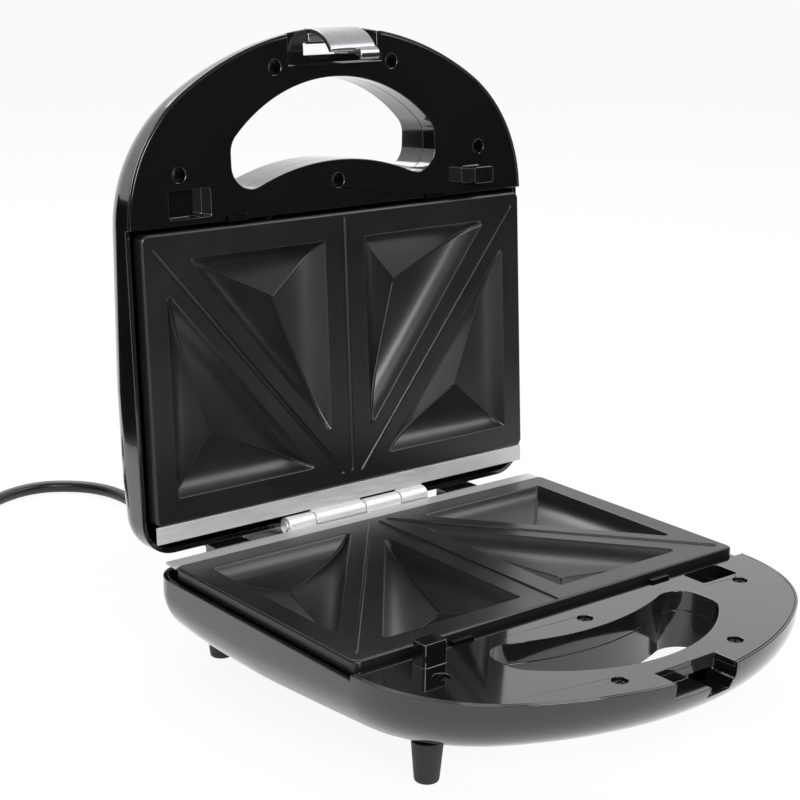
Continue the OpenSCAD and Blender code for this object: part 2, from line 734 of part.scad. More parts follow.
module lower_plate_clips() {
    color("#9a9b9c") at_hinge() plate_clip_set();
}

module power_cord() {
    color("#121212") tube(cord_route, cord_d / 2, 12, [0, 0, 1]);
}

module cord_coil() {
    color("#121212") tube(coil_path, cord_d / 2, 6, [0, 0, 1]);
}

module plug_body() {
    color("#141414") at_plug() difference() {
        union() {
            rotate([0, 90, 0]) cylinder(h = neck_l + 1, r1 = 4.2, r2 = 7);
            translate([neck_l, 0, -plug_h / 2]) linear_extrude(plug_h) hull() {
                translate([4, 0]) square([8, plug_w - 8], center = true);
                translate([plug_l - 3, plug_w / 2 - 3]) circle(3, $fn = 32);
                translate([plug_l - 3, 3 - plug_w / 2]) circle(3, $fn = 32);
                translate([12, plug_w / 2 - 3]) circle(3, $fn = 32);
                translate([12, 3 - plug_w / 2]) circle(3, $fn = 32);
            }
        }
        for (y = [-6.35, 6.35]) translate([neck_l + plug_l - 6, y - 0.75 - fit, -3.15 - fit])
            cube([10, 1.5 + 2 * fit, 6.3 + 2 * fit]);
    }
}

module plug_blades() {
    color("#c8c6bd") at_plug() for (y = [-6.35, 6.35])
        translate([neck_l + plug_l - 6 + fit, y - 0.75, -3.15]) cube([blade_l + 6, 1.5, 6.3]);
}

// ---- modules of the lid ----
lamp_x = 22;
lamp_s = plate_front + 11;
lens_top = roof_at(lamp_s) + 0.6;
lamp_z = 10 - lens_top;
lens_r = 3;

module lid_shell() {
    color("#131313") on_lid() difference() {
        casing_half() front_block(grown(recess_x, 3), recess_s - 0.5, [-17, 0]);
        front_block(recess_x, recess_s, [-7, 13]);
        front_block(grown(latch_x, gap), front_reach - 10, [-14, 6]);
        translate([window_x[0], -window_s[1], -case_depth])
            cube([window_x[1] - window_x[0], window_s[1] - window_s[0], 2 * case_depth]);
        translate([-20, -latch_s, -latch_z]) rotate([0, 90, 0]) cylinder(h = 42, r = latch_pin_d / 2 + fit);
        both_sides() translate([lamp_x, -lamp_s, -case_depth - 5])
            cylinder(h = 20, r = lens_r + seat);
    }
}

module lid_cover() {
    color("#181818") on_lid() difference() {
        cover_half(1);
        front_block(recess_x, recess_s, [-20, 20]);
    }
}

module upper_plate() {
    color("#262626") on_lid() difference() {
        plate();
        press_lines(3, -plate_plane - 1.1, 1);
    }
}

module upper_element() {
    color("#8c8c88") on_lid() element();
}

module upper_heat_shield() {
    color("#b4b6b8") on_lid() heat_shield();
}

module lid_wiring() {
    color("#b8342a") on_lid() for (x = [-1, 1])
        tube([[x * end_x, 0.2 + pin_l - end_s, -element_z], [x * end_x, -18, -element_z - 0.4],
            [x * 18, -15.5, -18.5], [x * 26, -17, -22], [x * 33, -25, -25], [x * 36, -60, -27],
            [x * 36, -110, -27], [x * 30, 5 - plate_front, -25], [x * lamp_x, -lamp_s + 7, lamp_z],
            [x * lamp_x, -lamp_s + 2.6, lamp_z]], 1, 6, [0.3, 0.1, 1]);
}

module indicator_lenses() {
    color("#c02818") on_lid() both_sides() translate([lamp_x, -lamp_s, 0]) {
        translate([0, 0, -lens_top]) cylinder(h = 6, r = lens_r);
        translate([0, 0, wall + 0.9 - lens_top]) cylinder(h = 1.2, r = 4.4);
    }
}

module indicator_lamps() {
    color("#e8b090") on_lid() both_sides() translate([lamp_x, -lamp_s, 6.4 - lens_top])
        cylinder(h = 9, r = 2.5);
}

module lid_hinge_leaf() {
    color("#c9cacb") on_lid() hinge_leaf(lid_knuckles);
}

module lid_cover_screws() {
    color("#8f9091") on_lid() cover_screw_set();
}

module upper_plate_screws() {
    color("#a8a9aa") on_lid() plate_screw_set();
}

module lid_hinge_screws() {
    color("#a8a9aa") on_lid() hinge_screw_set();
}

module upper_plate_clips() {
    color("#9a9b9c") on_lid() plate_clip_set();
}

module latch_pin() {
    color("#b9babb") on_lid() translate([-19.5, -latch_s, -latch_z]) rotate([0, 90, 0])
        cylinder(h = 41, r = latch_pin_d / 2);
}

// side view of the latch, along s and upwards: a bowed strip below its eye
module latch_strip() {
    bow_s = front_reach - 19;
    difference() {
        translate([-bow_s, 6]) circle(latch_bow_r + latch_t / 2, $fn = 96);
        translate([-bow_s, 6]) circle(latch_bow_r - latch_t / 2, $fn = 96);
        translate([-bow_s - 60, 6]) square([120, 60]);
        translate([-catch_s - 3.5, -60]) square([60, 120]);
    }
    translate([-bow_s - latch_bow_r - latch_t / 2, 5.99]) square([latch_t, 5]);
}

module latch() {
    color("#b9bbbd") at_hinge() rotate([-open_angle, 0, 0]) difference() {
        union() {
            translate([latch_x[0], 0, 0]) rotate([90, 0, 90]) linear_extrude(latch_w) latch_strip();
            translate([latch_x[0], -latch_s, latch_z]) rotate([0, 90, 0]) cylinder(h = latch_w, r = 2.6);
            translate([latch_x[0], -latch_s - 2.5, latch_z - 2]) cube([latch_w, 2.5, 4]);
            translate([lip_x[0], -catch_s, 0]) rotate([90, 0, 90]) linear_extrude(lip_x[1] - lip_x[0])
                polygon(hook);
        }
        translate([-40, -latch_s, latch_z]) rotate([0, 90, 0]) cylinder(h = 80, r = latch_pin_d / 2 + fit);
    }
}

base_shell();
base_cover();
lower_plate();
lower_element();
lower_heat_shield();
thermostat();
thermal_fuse();
terminal_block();
base_wiring();
base_hinge_leaf();
hinge_pin();
front_feet();
rear_feet();
strain_relief();
cord_clamp();
clamp_screws();
base_cover_screws();
lower_plate_screws();
base_hinge_screws();
lower_plate_clips();
power_cord();
cord_coil();
plug_body();
plug_blades();
lid_shell();
lid_cover();
upper_plate();
upper_element();
upper_heat_shield();
lid_wiring();
indicator_lenses();
indicator_lamps();
lid_hinge_leaf();
lid_cover_screws();
upper_plate_screws();
lid_hinge_screws();
upper_plate_clips();
latch_pin();
latch();
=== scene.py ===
# Sandwich toaster, open on a white table: finishes, smooth shells, plates and cord round the fixed frame.
# Each half is drawn in millimetres about the hinge axis: x across, y negative towards the handle, and z
# negative down into the casing. halfPlace turns that into metres in the toaster's place.
import json
import math

import bpy
import bmesh
from mathutils import Matrix, Vector


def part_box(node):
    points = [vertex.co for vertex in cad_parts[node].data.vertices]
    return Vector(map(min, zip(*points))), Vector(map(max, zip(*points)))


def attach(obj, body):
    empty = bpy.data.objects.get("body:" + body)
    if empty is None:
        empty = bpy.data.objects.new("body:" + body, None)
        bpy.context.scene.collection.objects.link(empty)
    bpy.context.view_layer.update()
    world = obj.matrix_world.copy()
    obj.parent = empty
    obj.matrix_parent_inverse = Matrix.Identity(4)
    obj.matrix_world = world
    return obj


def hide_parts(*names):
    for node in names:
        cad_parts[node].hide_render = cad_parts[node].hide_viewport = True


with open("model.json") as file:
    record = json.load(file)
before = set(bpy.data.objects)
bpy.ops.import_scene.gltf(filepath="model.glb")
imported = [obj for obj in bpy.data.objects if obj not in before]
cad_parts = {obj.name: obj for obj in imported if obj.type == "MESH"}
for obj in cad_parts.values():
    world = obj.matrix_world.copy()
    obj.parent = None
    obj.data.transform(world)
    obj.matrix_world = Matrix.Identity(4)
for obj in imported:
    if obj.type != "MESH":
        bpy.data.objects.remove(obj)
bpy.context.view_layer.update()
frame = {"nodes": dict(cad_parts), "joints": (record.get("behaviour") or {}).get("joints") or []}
mm = 0.001
toMetres = Matrix.Diagonal((mm, mm, mm, 1))

joints = {joint["name"]: joint for joint in frame["joints"]}
hinge = Vector(joints["lid_hinge"]["pos_m"])
openAngle = math.radians(joints["lid_hinge"]["range_deg"][1])
opened = Matrix.Translation(hinge) @ Matrix.Rotation(-openAngle, 4, "X")
halfPlace = {
    "base": Matrix.Translation(hinge) @ toMetres,
    "lid": opened @ Matrix.Diagonal((mm, mm, -mm, 1)),
    "closed": opened @ toMetres}

# camera: its place in metres, its angles in degrees, its lens in millimetres, and how far it sees
shot = {
    "place": (-0.5192, -0.5779, 0.3432), "turn": -39.13, "tilt": 15.62, "roll": 0.97,
    "lens": 82.71, "sees": 50}


def makeCamera():
    turn, tilt, roll = (math.radians(shot[k]) for k in ("turn", "tilt", "roll"))
    right = Vector((math.cos(turn), math.sin(turn), 0))
    back = Vector((math.sin(turn) * math.cos(tilt), -math.cos(turn) * math.cos(tilt), math.sin(tilt)))
    up = back.cross(right)
    rolled = right * math.cos(roll) + up * math.sin(roll)
    upright = up * math.cos(roll) - right * math.sin(roll)
    camera = bpy.data.cameras.new("camera")
    camera.lens = shot["lens"]
    camera.clip_end = shot["sees"]
    holder = bpy.data.objects.new("camera", camera)
    bpy.context.scene.collection.objects.link(holder)
    holder.matrix_world = Matrix((
        (rolled.x, upright.x, back.x, shot["place"][0]),
        (rolled.y, upright.y, back.y, shot["place"][1]),
        (rolled.z, upright.z, back.z, shot["place"][2]),
        (0, 0, 0, 1)))
    bpy.context.scene.camera = holder


makeCamera()
print("camera is in place")


# materials
def colour(hexText):
    # sRGB hex to a linear colour
    parts = [int(hexText[i:i + 2], 16) / 255 for i in (1, 3, 5)]
    return [c / 12.92 if c <= 0.04045 else ((c + 0.055) / 1.055) ** 2.4 for c in parts] + [1]


def addNode(material, kind, inputs=None, **settings):
    # an input is a plain value, or a pair (node, output) to link from
    node = material.node_tree.nodes.new(kind)
    for key, value in settings.items():
        setattr(node, key, value)
    for key, value in (inputs or {}).items():
        if isinstance(value, tuple) and isinstance(value[0], bpy.types.Node):
            material.node_tree.links.new(value[0].outputs[value[1]], node.inputs[key])
        else:
            node.inputs[key].default_value = value
    return node


def startMaterial(name):
    # a colour mix takes its factor at input 0 and its colours at 6 and 7, and gives a colour at output 2
    material = bpy.data.materials.new(name)
    material.use_nodes = True
    material.node_tree.nodes.clear()
    return material


def closeMaterial(material, shader):
    addNode(material, "ShaderNodeOutputMaterial", {"Surface": (shader, 0)})
    return material


def perMm(size):
    # pattern scale for cells of this size in millimetres, on coordinates in metres
    return 1000 / size


noiseSpan = {"From Min": 0.3, "From Max": 0.7}  # nearly all of a noise pattern lies between these


def mottled(material, pattern, tones, rough, raised, inputs):
    # a pattern shades the colour and varies the gloss; raised is the bump's pattern, millimetres and strength
    shade = addNode(material, "ShaderNodeMix", {
        0: (pattern, 0), 6: colour(tones[0]), 7: colour(tones[1])}, data_type="RGBA")
    gloss = addNode(material, "ShaderNodeMapRange", {
        "Value": (pattern, 0), **noiseSpan, "To Min": rough[0], "To Max": rough[1]})
    skin, height, strength = raised
    bump = addNode(material, "ShaderNodeBump", {
        "Height": (skin, 0), "Distance": height * mm, "Strength": strength})
    shader = addNode(material, "ShaderNodeBsdfPrincipled", {
        "Base Color": (shade, 2), "Roughness": (gloss, 0), "Normal": (bump, 0), **inputs})
    return closeMaterial(material, shader)


def polishedPhenolic(name, dark, light, rough):
    # compression-moulded phenolic, buffed: a deep black mirror that a faint orange peel softens
    material = startMaterial(name)
    place = (addNode(material, "ShaderNodeTexCoord"), "Object")
    peel = addNode(material, "ShaderNodeTexNoise", {"Vector": place, "Scale": perMm(4), "Detail": 2})
    smudge = addNode(material, "ShaderNodeTexNoise", {"Vector": place, "Scale": perMm(30), "Detail": 4})
    return mottled(material, smudge, (dark, light), (rough * 0.8, rough * 1.25), (peel, 0.004, 0.2), {
        "IOR": 1.56, "Coat Weight": 0.7, "Coat Roughness": 0.04})


def sprayedNonStick(name):
    # PTFE sprayed over pressed aluminium: charcoal with a broad soft sheen and a fine speckle
    material = startMaterial(name)
    place = (addNode(material, "ShaderNodeTexCoord"), "Object")
    # drawn coarser than the real speckle so that it shows
    speckle = addNode(material, "ShaderNodeTexNoise", {"Vector": place, "Scale": perMm(0.7), "Detail": 2})
    cloud = addNode(material, "ShaderNodeTexNoise", {"Vector": place, "Scale": perMm(24), "Detail": 3})
    return mottled(material, cloud, ("#101011", "#171718"), (0.29, 0.36), (speckle, 0.006, 0.6), {
        "IOR": 1.45, "Coat Weight": 0.2, "Coat Roughness": 0.2})


def drawnMetal(name, dark, light, rough, stretch, metallic=1.0):
    # rolled, plated or blackened metal: faint drawing lines along its length break up the highlights
    material = startMaterial(name)
    place = (addNode(material, "ShaderNodeTexCoord"), "Object")
    along = addNode(material, "ShaderNodeMapping", {"Vector": place, "Scale": stretch})
    lines = addNode(material, "ShaderNodeTexNoise", {"Vector": (along, 0), "Scale": perMm(0.6), "Detail": 3})
    return mottled(material, lines, (dark, light), (rough * 0.85, rough * 1.2), (lines, 0.004, 0.4), {
        "Metallic": metallic})


def silverLacquer(name):
    # metallic lacquer sprayed on moulded ABS: fine flake in a soft grey, under a thin clear film
    material = startMaterial(name)
    place = (addNode(material, "ShaderNodeTexCoord"), "Object")
    flake = addNode(material, "ShaderNodeTexVoronoi", {"Vector": place, "Scale": perMm(0.3)})
    tone = addNode(material, "ShaderNodeSeparateColor", {"Color": (flake, "Color")})
    shade = addNode(material, "ShaderNodeMix", {
        0: (tone, 0), 6: colour("#8c8e90"), 7: colour("#abadaf")}, data_type="RGBA")
    bump = addNode(material, "ShaderNodeBump", {"Height": (tone, 0), "Distance": 0.002 * mm, "Strength": 0.4})
    shader = addNode(material, "ShaderNodeBsdfPrincipled", {
        "Base Color": (shade, 2), "Metallic": 1.0, "Roughness": 0.26, "Coat Weight": 0.2,
        "Coat Roughness": 0.1, "Normal": (bump, 0)})
    return closeMaterial(material, shader)


def softPvc(name, dark, light, rough):
    # extruded or moulded PVC: a satin black skin with a slow waviness
    material = startMaterial(name)
    place = (addNode(material, "ShaderNodeTexCoord"), "Object")
    skin = addNode(material, "ShaderNodeTexNoise", {"Vector": place, "Scale": perMm(1.6), "Detail": 3})
    return mottled(material, skin, (dark, light), (rough * 0.9, rough * 1.2), (skin, 0.01, 0.4), {
        "IOR": 1.53})


def firedInsulator(name, dark, light, rough):
    # fired steatite, or silicone sleeving: matt and slightly clouded
    material = startMaterial(name)
    place = (addNode(material, "ShaderNodeTexCoord"), "Object")
    cloud = addNode(material, "ShaderNodeTexNoise", {"Vector": place, "Scale": perMm(2), "Detail": 4})
    return mottled(material, cloud, (dark, light), (rough, rough + 0.15), (cloud, 0.01, 0.4), {"IOR": 1.5})


def clearTinted(name, dark, light):
    # tinted polycarbonate or lamp glass: light comes through, and the outside shines
    material = startMaterial(name)
    place = (addNode(material, "ShaderNodeTexCoord"), "Object")
    cloud = addNode(material, "ShaderNodeTexNoise", {"Vector": place, "Scale": perMm(2.5), "Detail": 2})
    shade = addNode(material, "ShaderNodeMix", {
        0: (cloud, 0), 6: colour(dark), 7: colour(light)}, data_type="RGBA")
    gloss = addNode(material, "ShaderNodeMapRange", {"Value": (cloud, 0), "To Min": 0.06, "To Max": 0.12})
    shader = addNode(material, "ShaderNodeBsdfPrincipled", {
        "Base Color": (shade, 2), "Roughness": (gloss, 0), "IOR": 1.58, "Transmission Weight": 0.45})
    return closeMaterial(material, shader)


even, acrossLines = (1, 1, 1), (0.05, 1, 1)  # how the drawing lines are stretched along each axis
finish = {
    "casing": polishedPhenolic("polishedPhenolicCasing", "#0c0c0d", "#131314", 0.13),
    "cover": polishedPhenolic("polishedPhenolicCover", "#0b0b0c", "#111112", 0.07),
    "nonStick": sprayedNonStick("sprayedNonStick"),
    "strip": drawnMetal("platedSteelStrip", "#c6c7c8", "#d6d7d8", 0.55, acrossLines, 0.75),
    # a lighter copy of the strip's plated steel: a painted highlight for the hinge barrel, which the pins
    # take too
    "barrel": drawnMetal("platedSteelBarrelPaintedHighlight", "#e6e7e8", "#f2f2f2", 0.45, acrossLines, 0.75),
    "screw": drawnMetal("blackOxideScrew", "#17171a", "#2a2a2c", 0.3, even),
    "innerScrew": drawnMetal("zincPlatedScrew", "#8f9092", "#a6a7a9", 0.32, even),
    "clip": drawnMetal("bluedSpringSteel", "#1b1b1d", "#2c2c30", 0.34, even),
    "element": drawnMetal("oxidisedElementSheath", "#5f5c56", "#77736b", 0.45, even),
    "tray": drawnMetal("rolledAluminiumTray", "#b9babc", "#cdced0", 0.35, acrossLines),
    "latch": silverLacquer("silverLacqueredLatch"),
    "foot": softPvc("mouldedFoot", "#0a0a0a", "#121212", 0.5),
    "cord": softPvc("extrudedPvcCord", "#0d0d0e", "#171718", 0.34),
    "plug": softPvc("mouldedPvcPlug", "#0e0e0f", "#191919", 0.42),
    "tie": softPvc("nylonTie", "#101011", "#1c1c1d", 0.3),
    "blade": drawnMetal("nickelPlatedBlade", "#a9a598", "#bdb9ad", 0.28, even),
    "ceramic": firedInsulator("firedSteatite", "#cfcabb", "#e2ded2", 0.5),
    "blackSleeve": firedInsulator("siliconeSleeveBlack", "#19191a", "#262627", 0.45),
    "lens": clearTinted("redPolycarbonateLens", "#7d0a06", "#a3140d"),
    "lamp": clearTinted("neonLampGlass", "#d9a27e", "#eec3a4"),
}
print("materials are made")

# how a cut mesh is cleaned, in millimetres and degrees, and how upright the normal of a level face is
cleaning = {"weld": 0.01, "flat": 0.5, "levelFlat": 0.2, "level": 0.99999, "shadedLevel": 0.9999}


def addStack(bm, rings, ends="capped"):
    # joins rings of equal length with quads; the two ends are capped, open, or joined to each other
    rows = [[bm.verts.new(p) for p in ring] for ring in rings]
    for upper, lower in zip(rows, rows[1:] + rows[:1] if ends == "joined" else rows[1:]):
        for j in range(len(upper)):
            k = (j + 1) % len(upper)
            bm.faces.new((upper[j], lower[j], lower[k], upper[k]))
    if ends == "capped":
        bm.faces.new(rows[0])
        bm.faces.new(rows[-1][::-1])
    return rows


def stackMesh(rings, ends="capped"):
    bm = bmesh.new()
    addStack(bm, rings, ends)
    bmesh.ops.recalc_face_normals(bm, faces=bm.faces)
    return bm


def prismMesh(outline, low, high):
    return stackMesh([[(x, y, high) for x, y in outline], [(x, y, low) for x, y in outline]])


def boxMesh(low, high):
    corners = [(low[0], low[1]), (high[0], low[1]), (high[0], high[1]), (low[0], high[1])]
    return prismMesh(corners, low[2], high[2])


def latheMesh(profile, steps, closed=False):
    # profile is a list of (radius, height) from the lower middle to the upper middle, or round a bore
    rings = [[(r * math.cos(2 * math.pi * i / steps), r * math.sin(2 * math.pi * i / steps), h)
              for i in range(steps)] for r, h in profile]
    return stackMesh(rings, "joined" if closed else "capped")


def moved(bm, matrix):
    bmesh.ops.transform(bm, matrix=matrix, verts=bm.verts)
    return bm


def sideways(profile, low, high):
    # extrudes an outline in y and z along x
    turned = Matrix(((0, 0, 1, 0), (1, 0, 0, 0), (0, 1, 0, 0), (0, 0, 0, 1)))
    return moved(prismMesh(profile, low, high), turned)


def joined(parts):
    whole = bmesh.new()
    for part in parts:
        mesh = bpy.data.meshes.new("part")
        part.to_mesh(mesh)
        whole.from_mesh(mesh)
        bpy.data.meshes.remove(mesh)
        part.free()
    return whole


def asObject(bm, name="work"):
    mesh = bpy.data.meshes.new(name)
    bm.to_mesh(mesh)
    bm.free()
    thing = bpy.data.objects.new(name, mesh)
    bpy.context.scene.collection.objects.link(thing)
    return thing


def asMesh(thing):
    # the way back from an object to a loose mesh
    bm = bmesh.new()
    bm.from_mesh(thing.data)
    bpy.data.objects.remove(thing)
    return bm


def applied(thing):
    # swaps the mesh for its evaluated form and drops the modifiers
    bpy.context.view_layer.update()
    graph = bpy.context.evaluated_depsgraph_get()
    mesh = bpy.data.meshes.new_from_object(thing.evaluated_get(graph))
    old = thing.data
    thing.modifiers.clear()
    thing.data = mesh
    bpy.data.meshes.remove(old)
    return thing


def combine(thing, tools, how="DIFFERENCE"):
    for tool in tools:
        cutter = asObject(tool, "cutter")
        step = thing.modifiers.new("cut", "BOOLEAN")
        step.operation = how
        step.solver = "MANIFOLD"
        step.object = cutter
        applied(thing)
        bpy.data.objects.remove(cutter)
    return thing


def isLevel(face, limit):
    return abs(face.normal.z) > limit


def softenEdges(thing, width, angle=50):
    # tidies what the cuts left, and splits the many-sided faces so that none closes over a hole
    bm = bmesh.new()
    bm.from_mesh(thing.data)
    bmesh.ops.remove_doubles(bm, verts=bm.verts, dist=cleaning["weld"])
    bmesh.ops.dissolve_degenerate(bm, edges=bm.edges, dist=cleaning["weld"])
    bmesh.ops.dissolve_limit(bm, angle_limit=math.radians(cleaning["flat"]), verts=bm.verts, edges=bm.edges)
    bmesh.ops.triangulate(bm, faces=[face for face in bm.faces if len(face.verts) > 4])
    bm.to_mesh(thing.data)
    bm.free()
    step = thing.modifiers.new("soften", "BEVEL")
    step.width = width
    step.segments = 3
    step.limit_method = "ANGLE"
    step.angle_limit = math.radians(angle)
    step.use_clamp_overlap = False
    applied(thing)
    # the bevel leaves narrow triangles in the level faces, which go again
    bm = bmesh.new()
    bm.from_mesh(thing.data)
    level = [face for face in bm.faces if isLevel(face, cleaning["level"])]
    inner = [edge for edge in bm.edges if len(edge.link_faces) == 2
             and all(isLevel(face, cleaning["level"]) for face in edge.link_faces)]
    bmesh.ops.dissolve_limit(bm, angle_limit=math.radians(cleaning["levelFlat"]), edges=inner,
                             verts=list({vert for face in level for vert in face.verts}))
    bm.to_mesh(thing.data)
    bm.free()
    return thing


def settle(thing, name, material, body, half=None, stands=(), sharp=38):
    # puts a finished piece in its place, with its material and the body that it rides on
    level = [isLevel(face, cleaning["shadedLevel"]) for face in thing.data.polygons]
    if half:
        thing.data.transform(halfPlace[half])
        if half == "lid":
            thing.data.flip_normals()
    thing.name = name
    thing.data.name = name
    thing.data.materials.clear()
    thing.data.materials.append(material)
    thing.data.shade_smooth()
    thing.data.set_sharp_from_angle(angle=math.radians(sharp))
    # level faces are shaded flat, so that they don't take on the turn of the soft edges round them
    for face, flat in zip(thing.data.polygons, level):
        face.use_smooth = not flat
    weighted = thing.modifiers.new("level", "WEIGHTED_NORMAL")
    weighted.mode = "FACE_AREA_WITH_ANGLE"
    weighted.keep_sharp = True
    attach(thing, body)
    if stands:
        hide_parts(*stands)
    return thing


def arc(centre, radius, start, end, steps):
    return [(centre[0] + radius * math.cos(math.radians(start + (end - start) * i / steps)),
             centre[1] + radius * math.sin(math.radians(start + (end - start) * i / steps)))
            for i in range(steps + 1)]


def block(centre, size, low, high):
    (x, y), (w, d) = centre, size
    return boxMesh((x - w / 2, y - d / 2, low), (x + w / 2, y + d / 2, high))


def roundedBlock(centre, size, radius, low, high):
    w, d = size[0] / 2 - radius, size[1] / 2 - radius
    corners = [(w, d, 0), (-w, d, 90), (-w, -d, 180), (w, -d, 270)]
    return prismMesh([p for x, y, turn in corners
                      for p in arc((centre[0] + x, centre[1] + y), radius, turn, turn + 90, 6)], low, high)


def disc(centre, radius, low, high):
    return prismMesh(arc(centre, radius, 0, 360, 40)[:-1], low, high)


# The cord leaves low at the back, runs along the table behind the lid, and its spare length is coiled
# out of sight with a moulded plug at the end. The route is in millimetres from the toaster's origin.
# spiral and climb are in turns, and samples are the points in each turn.
cord = {
    "diameter": 6.8, "coilRadius": 42, "pitch": 9, "lift": 7.4, "spiral": 0.75, "climb": 0.5, "lead": 6.8,
    "tail": 16, "intoRelief": 6, "intoPlug": 14, "samples": 24, "between": 4}
cordRoute = [
    (-12, 120, 28), (-12, 128, 28), (-12, 137, 27.4), (-12, 147, 25.4), (-12, 157, 21.6), (-12, 167, 16.2),
    (-12, 177, 10.6), (-12, 187, 6.3), (-12, 197, 4), (-12, 207, 3.5), (-12, 223, 3.5), (-12, 239, 3.5),
    (-12, 255, 3.5), (-11, 271, 3.5), (-11, 286, 3.5), (-11, 299, 3.5), (-13, 311, 3.5), (-18, 322, 3.5),
    (-26, 331, 3.5), (-37, 338, 3.5), (-49, 340, 3.5), (-61, 338, 3.5), (-74, 333, 3.5), (-87, 328, 3.5)]
cordExit = Vector(cordRoute[0])
coilStart = Vector(cordRoute[-1])
coilHeading = math.atan2(cordRoute[-1][1] - cordRoute[-2][1], cordRoute[-1][0] - cordRoute[-2][0])
coilWay = Vector((math.cos(coilHeading), math.sin(coilHeading), 0))
coilSide = Vector((-math.sin(coilHeading), math.cos(coilHeading), 0))
coilMiddle = coilStart + coilWay * cord["lead"] - coilSide * cord["coilRadius"]
coilTurns = 2 * cord["spiral"] + cord["climb"]
coilOut = coilStart + coilWay * cord["lead"] + Vector((0, 0, cord["lift"]))
coilEnd = coilOut + coilWay * cord["tail"]


def coilPoint(t):
    # the turns spiral in, climb a layer, and spiral out again
    share = min(max((t - cord["spiral"]) / cord["climb"], 0), 1)
    height = coilStart.z + cord["lift"] * share * share * (3 - 2 * share)
    inward = cord["spiral"] - max(0, abs(t - coilTurns / 2) - cord["climb"] / 2)
    radius = cord["coilRadius"] - cord["pitch"] * inward
    turn = coilHeading + math.pi / 2 - 2 * math.pi * t
    return Vector((coilMiddle.x + radius * math.cos(turn), coilMiddle.y + radius * math.sin(turn), height))


def throughPoints(points, steps):
    # Catmull-Rom line through all the points
    padded = [points[0] * 2 - points[1]] + points + [points[-1] * 2 - points[-2]]
    line = []
    for a, b, c, d in zip(padded, padded[1:], padded[2:], padded[3:]):
        for i in range(steps):
            t = i / steps
            line.append(0.5 * (2 * b + (c - a) * t + (2 * a - 5 * b + 4 * c - d) * t * t
                               + (3 * b - a - 3 * c + d) * t * t * t))
    return line + [points[-1]]


def cordCurve():
    points = [cordExit - Vector((0, cord["intoRelief"], 0))] + [Vector(p) for p in cordRoute]
    points += [coilPoint(i / cord["samples"]) for i in range(round(cord["samples"] * coilTurns) + 1)]
    points += [coilOut + coilWay * cord["lead"], coilEnd, coilEnd + coilWay * cord["intoPlug"]]
    line = throughPoints(points, cord["between"])
    curve = bpy.data.curves.new("mainsCord", "CURVE")
    curve.dimensions = "3D"
    curve.bevel_depth = cord["diameter"] / 2 * mm
    curve.bevel_resolution = 7
    curve.use_fill_caps = True
    spline = curve.splines.new("POLY")
    spline.points.add(len(line) - 1)
    for point, place in zip(spline.points, line):
        point.co = (*(place * mm), 1)
    spline.use_smooth = True
    curve.materials.append(finish["cord"])
    thing = bpy.data.objects.new("mainsCord", curve)
    bpy.context.scene.collection.objects.link(thing)
    return thing, sum((b - a).length for a, b in zip(line, line[1:])) * mm


# strain relief: a flange inside the wall, a neck through it, and ribs between grooves along its taper
relief = {
    # radii, then the ribs, the depth of a groove and the least wall left under it
    "bore": 3.3, "flange": 5.5, "neck": 4.7, "root": 5.7, "tip": 4.3, "ribs": 7, "groove": 1.0, "under": 0.35,
    # distances behind the hinge axis
    "flangeFrom": -10.3, "flangeTo": -8.3, "rootFrom": -2.4, "ribsFrom": 3.5, "end": 25.9, "plainEnd": 2,
    # how far an edge is rounded off
    "flangeEdge": 0.3, "rootEdge": 0.2,
    # (distance in from the skin or out from a groove's floor, distance along): into a groove, over, and out
    "into": [(0, -0.5), (0.15, -0.2)], "over": [(0.1, 0), (0, 0.2), (0, 0.9), (0.1, 1.1)],
    "outOf": [(0.15, 1.3), (0.05, 1.6)], "tipEdge": [(0, 0.6), (0.2, 0.15), (0.55, 0)]}


def strainRelief():
    part = relief
    bore, flange, root, end = part["bore"], part["flange"], part["root"], part["end"]
    soft, ease = part["flangeEdge"], part["rootEdge"]
    inside, wall, outside = part["flangeFrom"], part["flangeTo"], part["rootFrom"]
    profile = [
        (bore, inside), (flange - soft, inside), (flange, inside + soft), (flange, wall - soft),
        (flange - soft, wall), (part["neck"], wall), (part["neck"], outside), (root - ease, outside),
        (root, outside + ease)]
    step = (end - part["plainEnd"] - part["ribsFrom"]) / part["ribs"]
    for i in range(part["ribs"]):
        here = part["ribsFrom"] + i * step
        radius = root + (part["tip"] - root) * here / end
        floor = max(radius - part["groove"], bore + part["under"])
        profile += [(radius - cut, here + along) for cut, along in part["into"]]
        profile += [(floor + rise, here + along) for rise, along in part["over"]]
        profile += [(radius - cut, here + along) for cut, along in part["outOf"]]
    profile += [(part["tip"] - cut, end - back) for cut, back in part["tipEdge"]] + [(bore, end)]
    outlet = Matrix.Translation((cordExit.x * mm, hinge.y, cordExit.z * mm))
    return asObject(moved(latheMesh(profile, 40, closed=True),
                          outlet @ Matrix.Rotation(math.radians(-90), 4, "X") @ toMetres))


plug = {
    "neck": 22, "neckFrom": 4.2, "neckTo": 7, "neckSteps": 12, "collar": 0.9, "length": 34, "width": 26,
    "height": 2 * (coilEnd.z - 0.3), "corner": 5, "grips": 4, "gripFrom": 15, "gripPitch": 3,
    "bladeGap": 6.35, "blade": (1.5, 6.3, 16), "bladeIn": 6, "slack": 0.05, "shoulder": 2.6, "tip": 2,
    "tipAngle": 62, "hole": 1.6, "holeBack": 5.5, "soften": 0.2,
    # where the neck swells into the grip: distance beyond the neck, width, height, corner radius
    "swell": [(1, 15.5, 15.5, 6.5), (2.2, 17.2, 17.6, 6.2), (4, 19.5, 19.6, 6), (7, 22.8, 20.8, 5.6)],
    # across one finger grip, and at the blades' end: distance, and how much narrower it is
    "grip": [(0, 0), (0.5, 1.4), (1.4, 1.6), (2, 0.3)], "nose": [(2.2, 0), (0.9, 0.3), (0.3, 1), (0, 2.4)]}


def plugPlace():
    return Matrix.Translation(coilEnd * mm) @ Matrix.Rotation(coilHeading, 4, "Z") @ toMetres


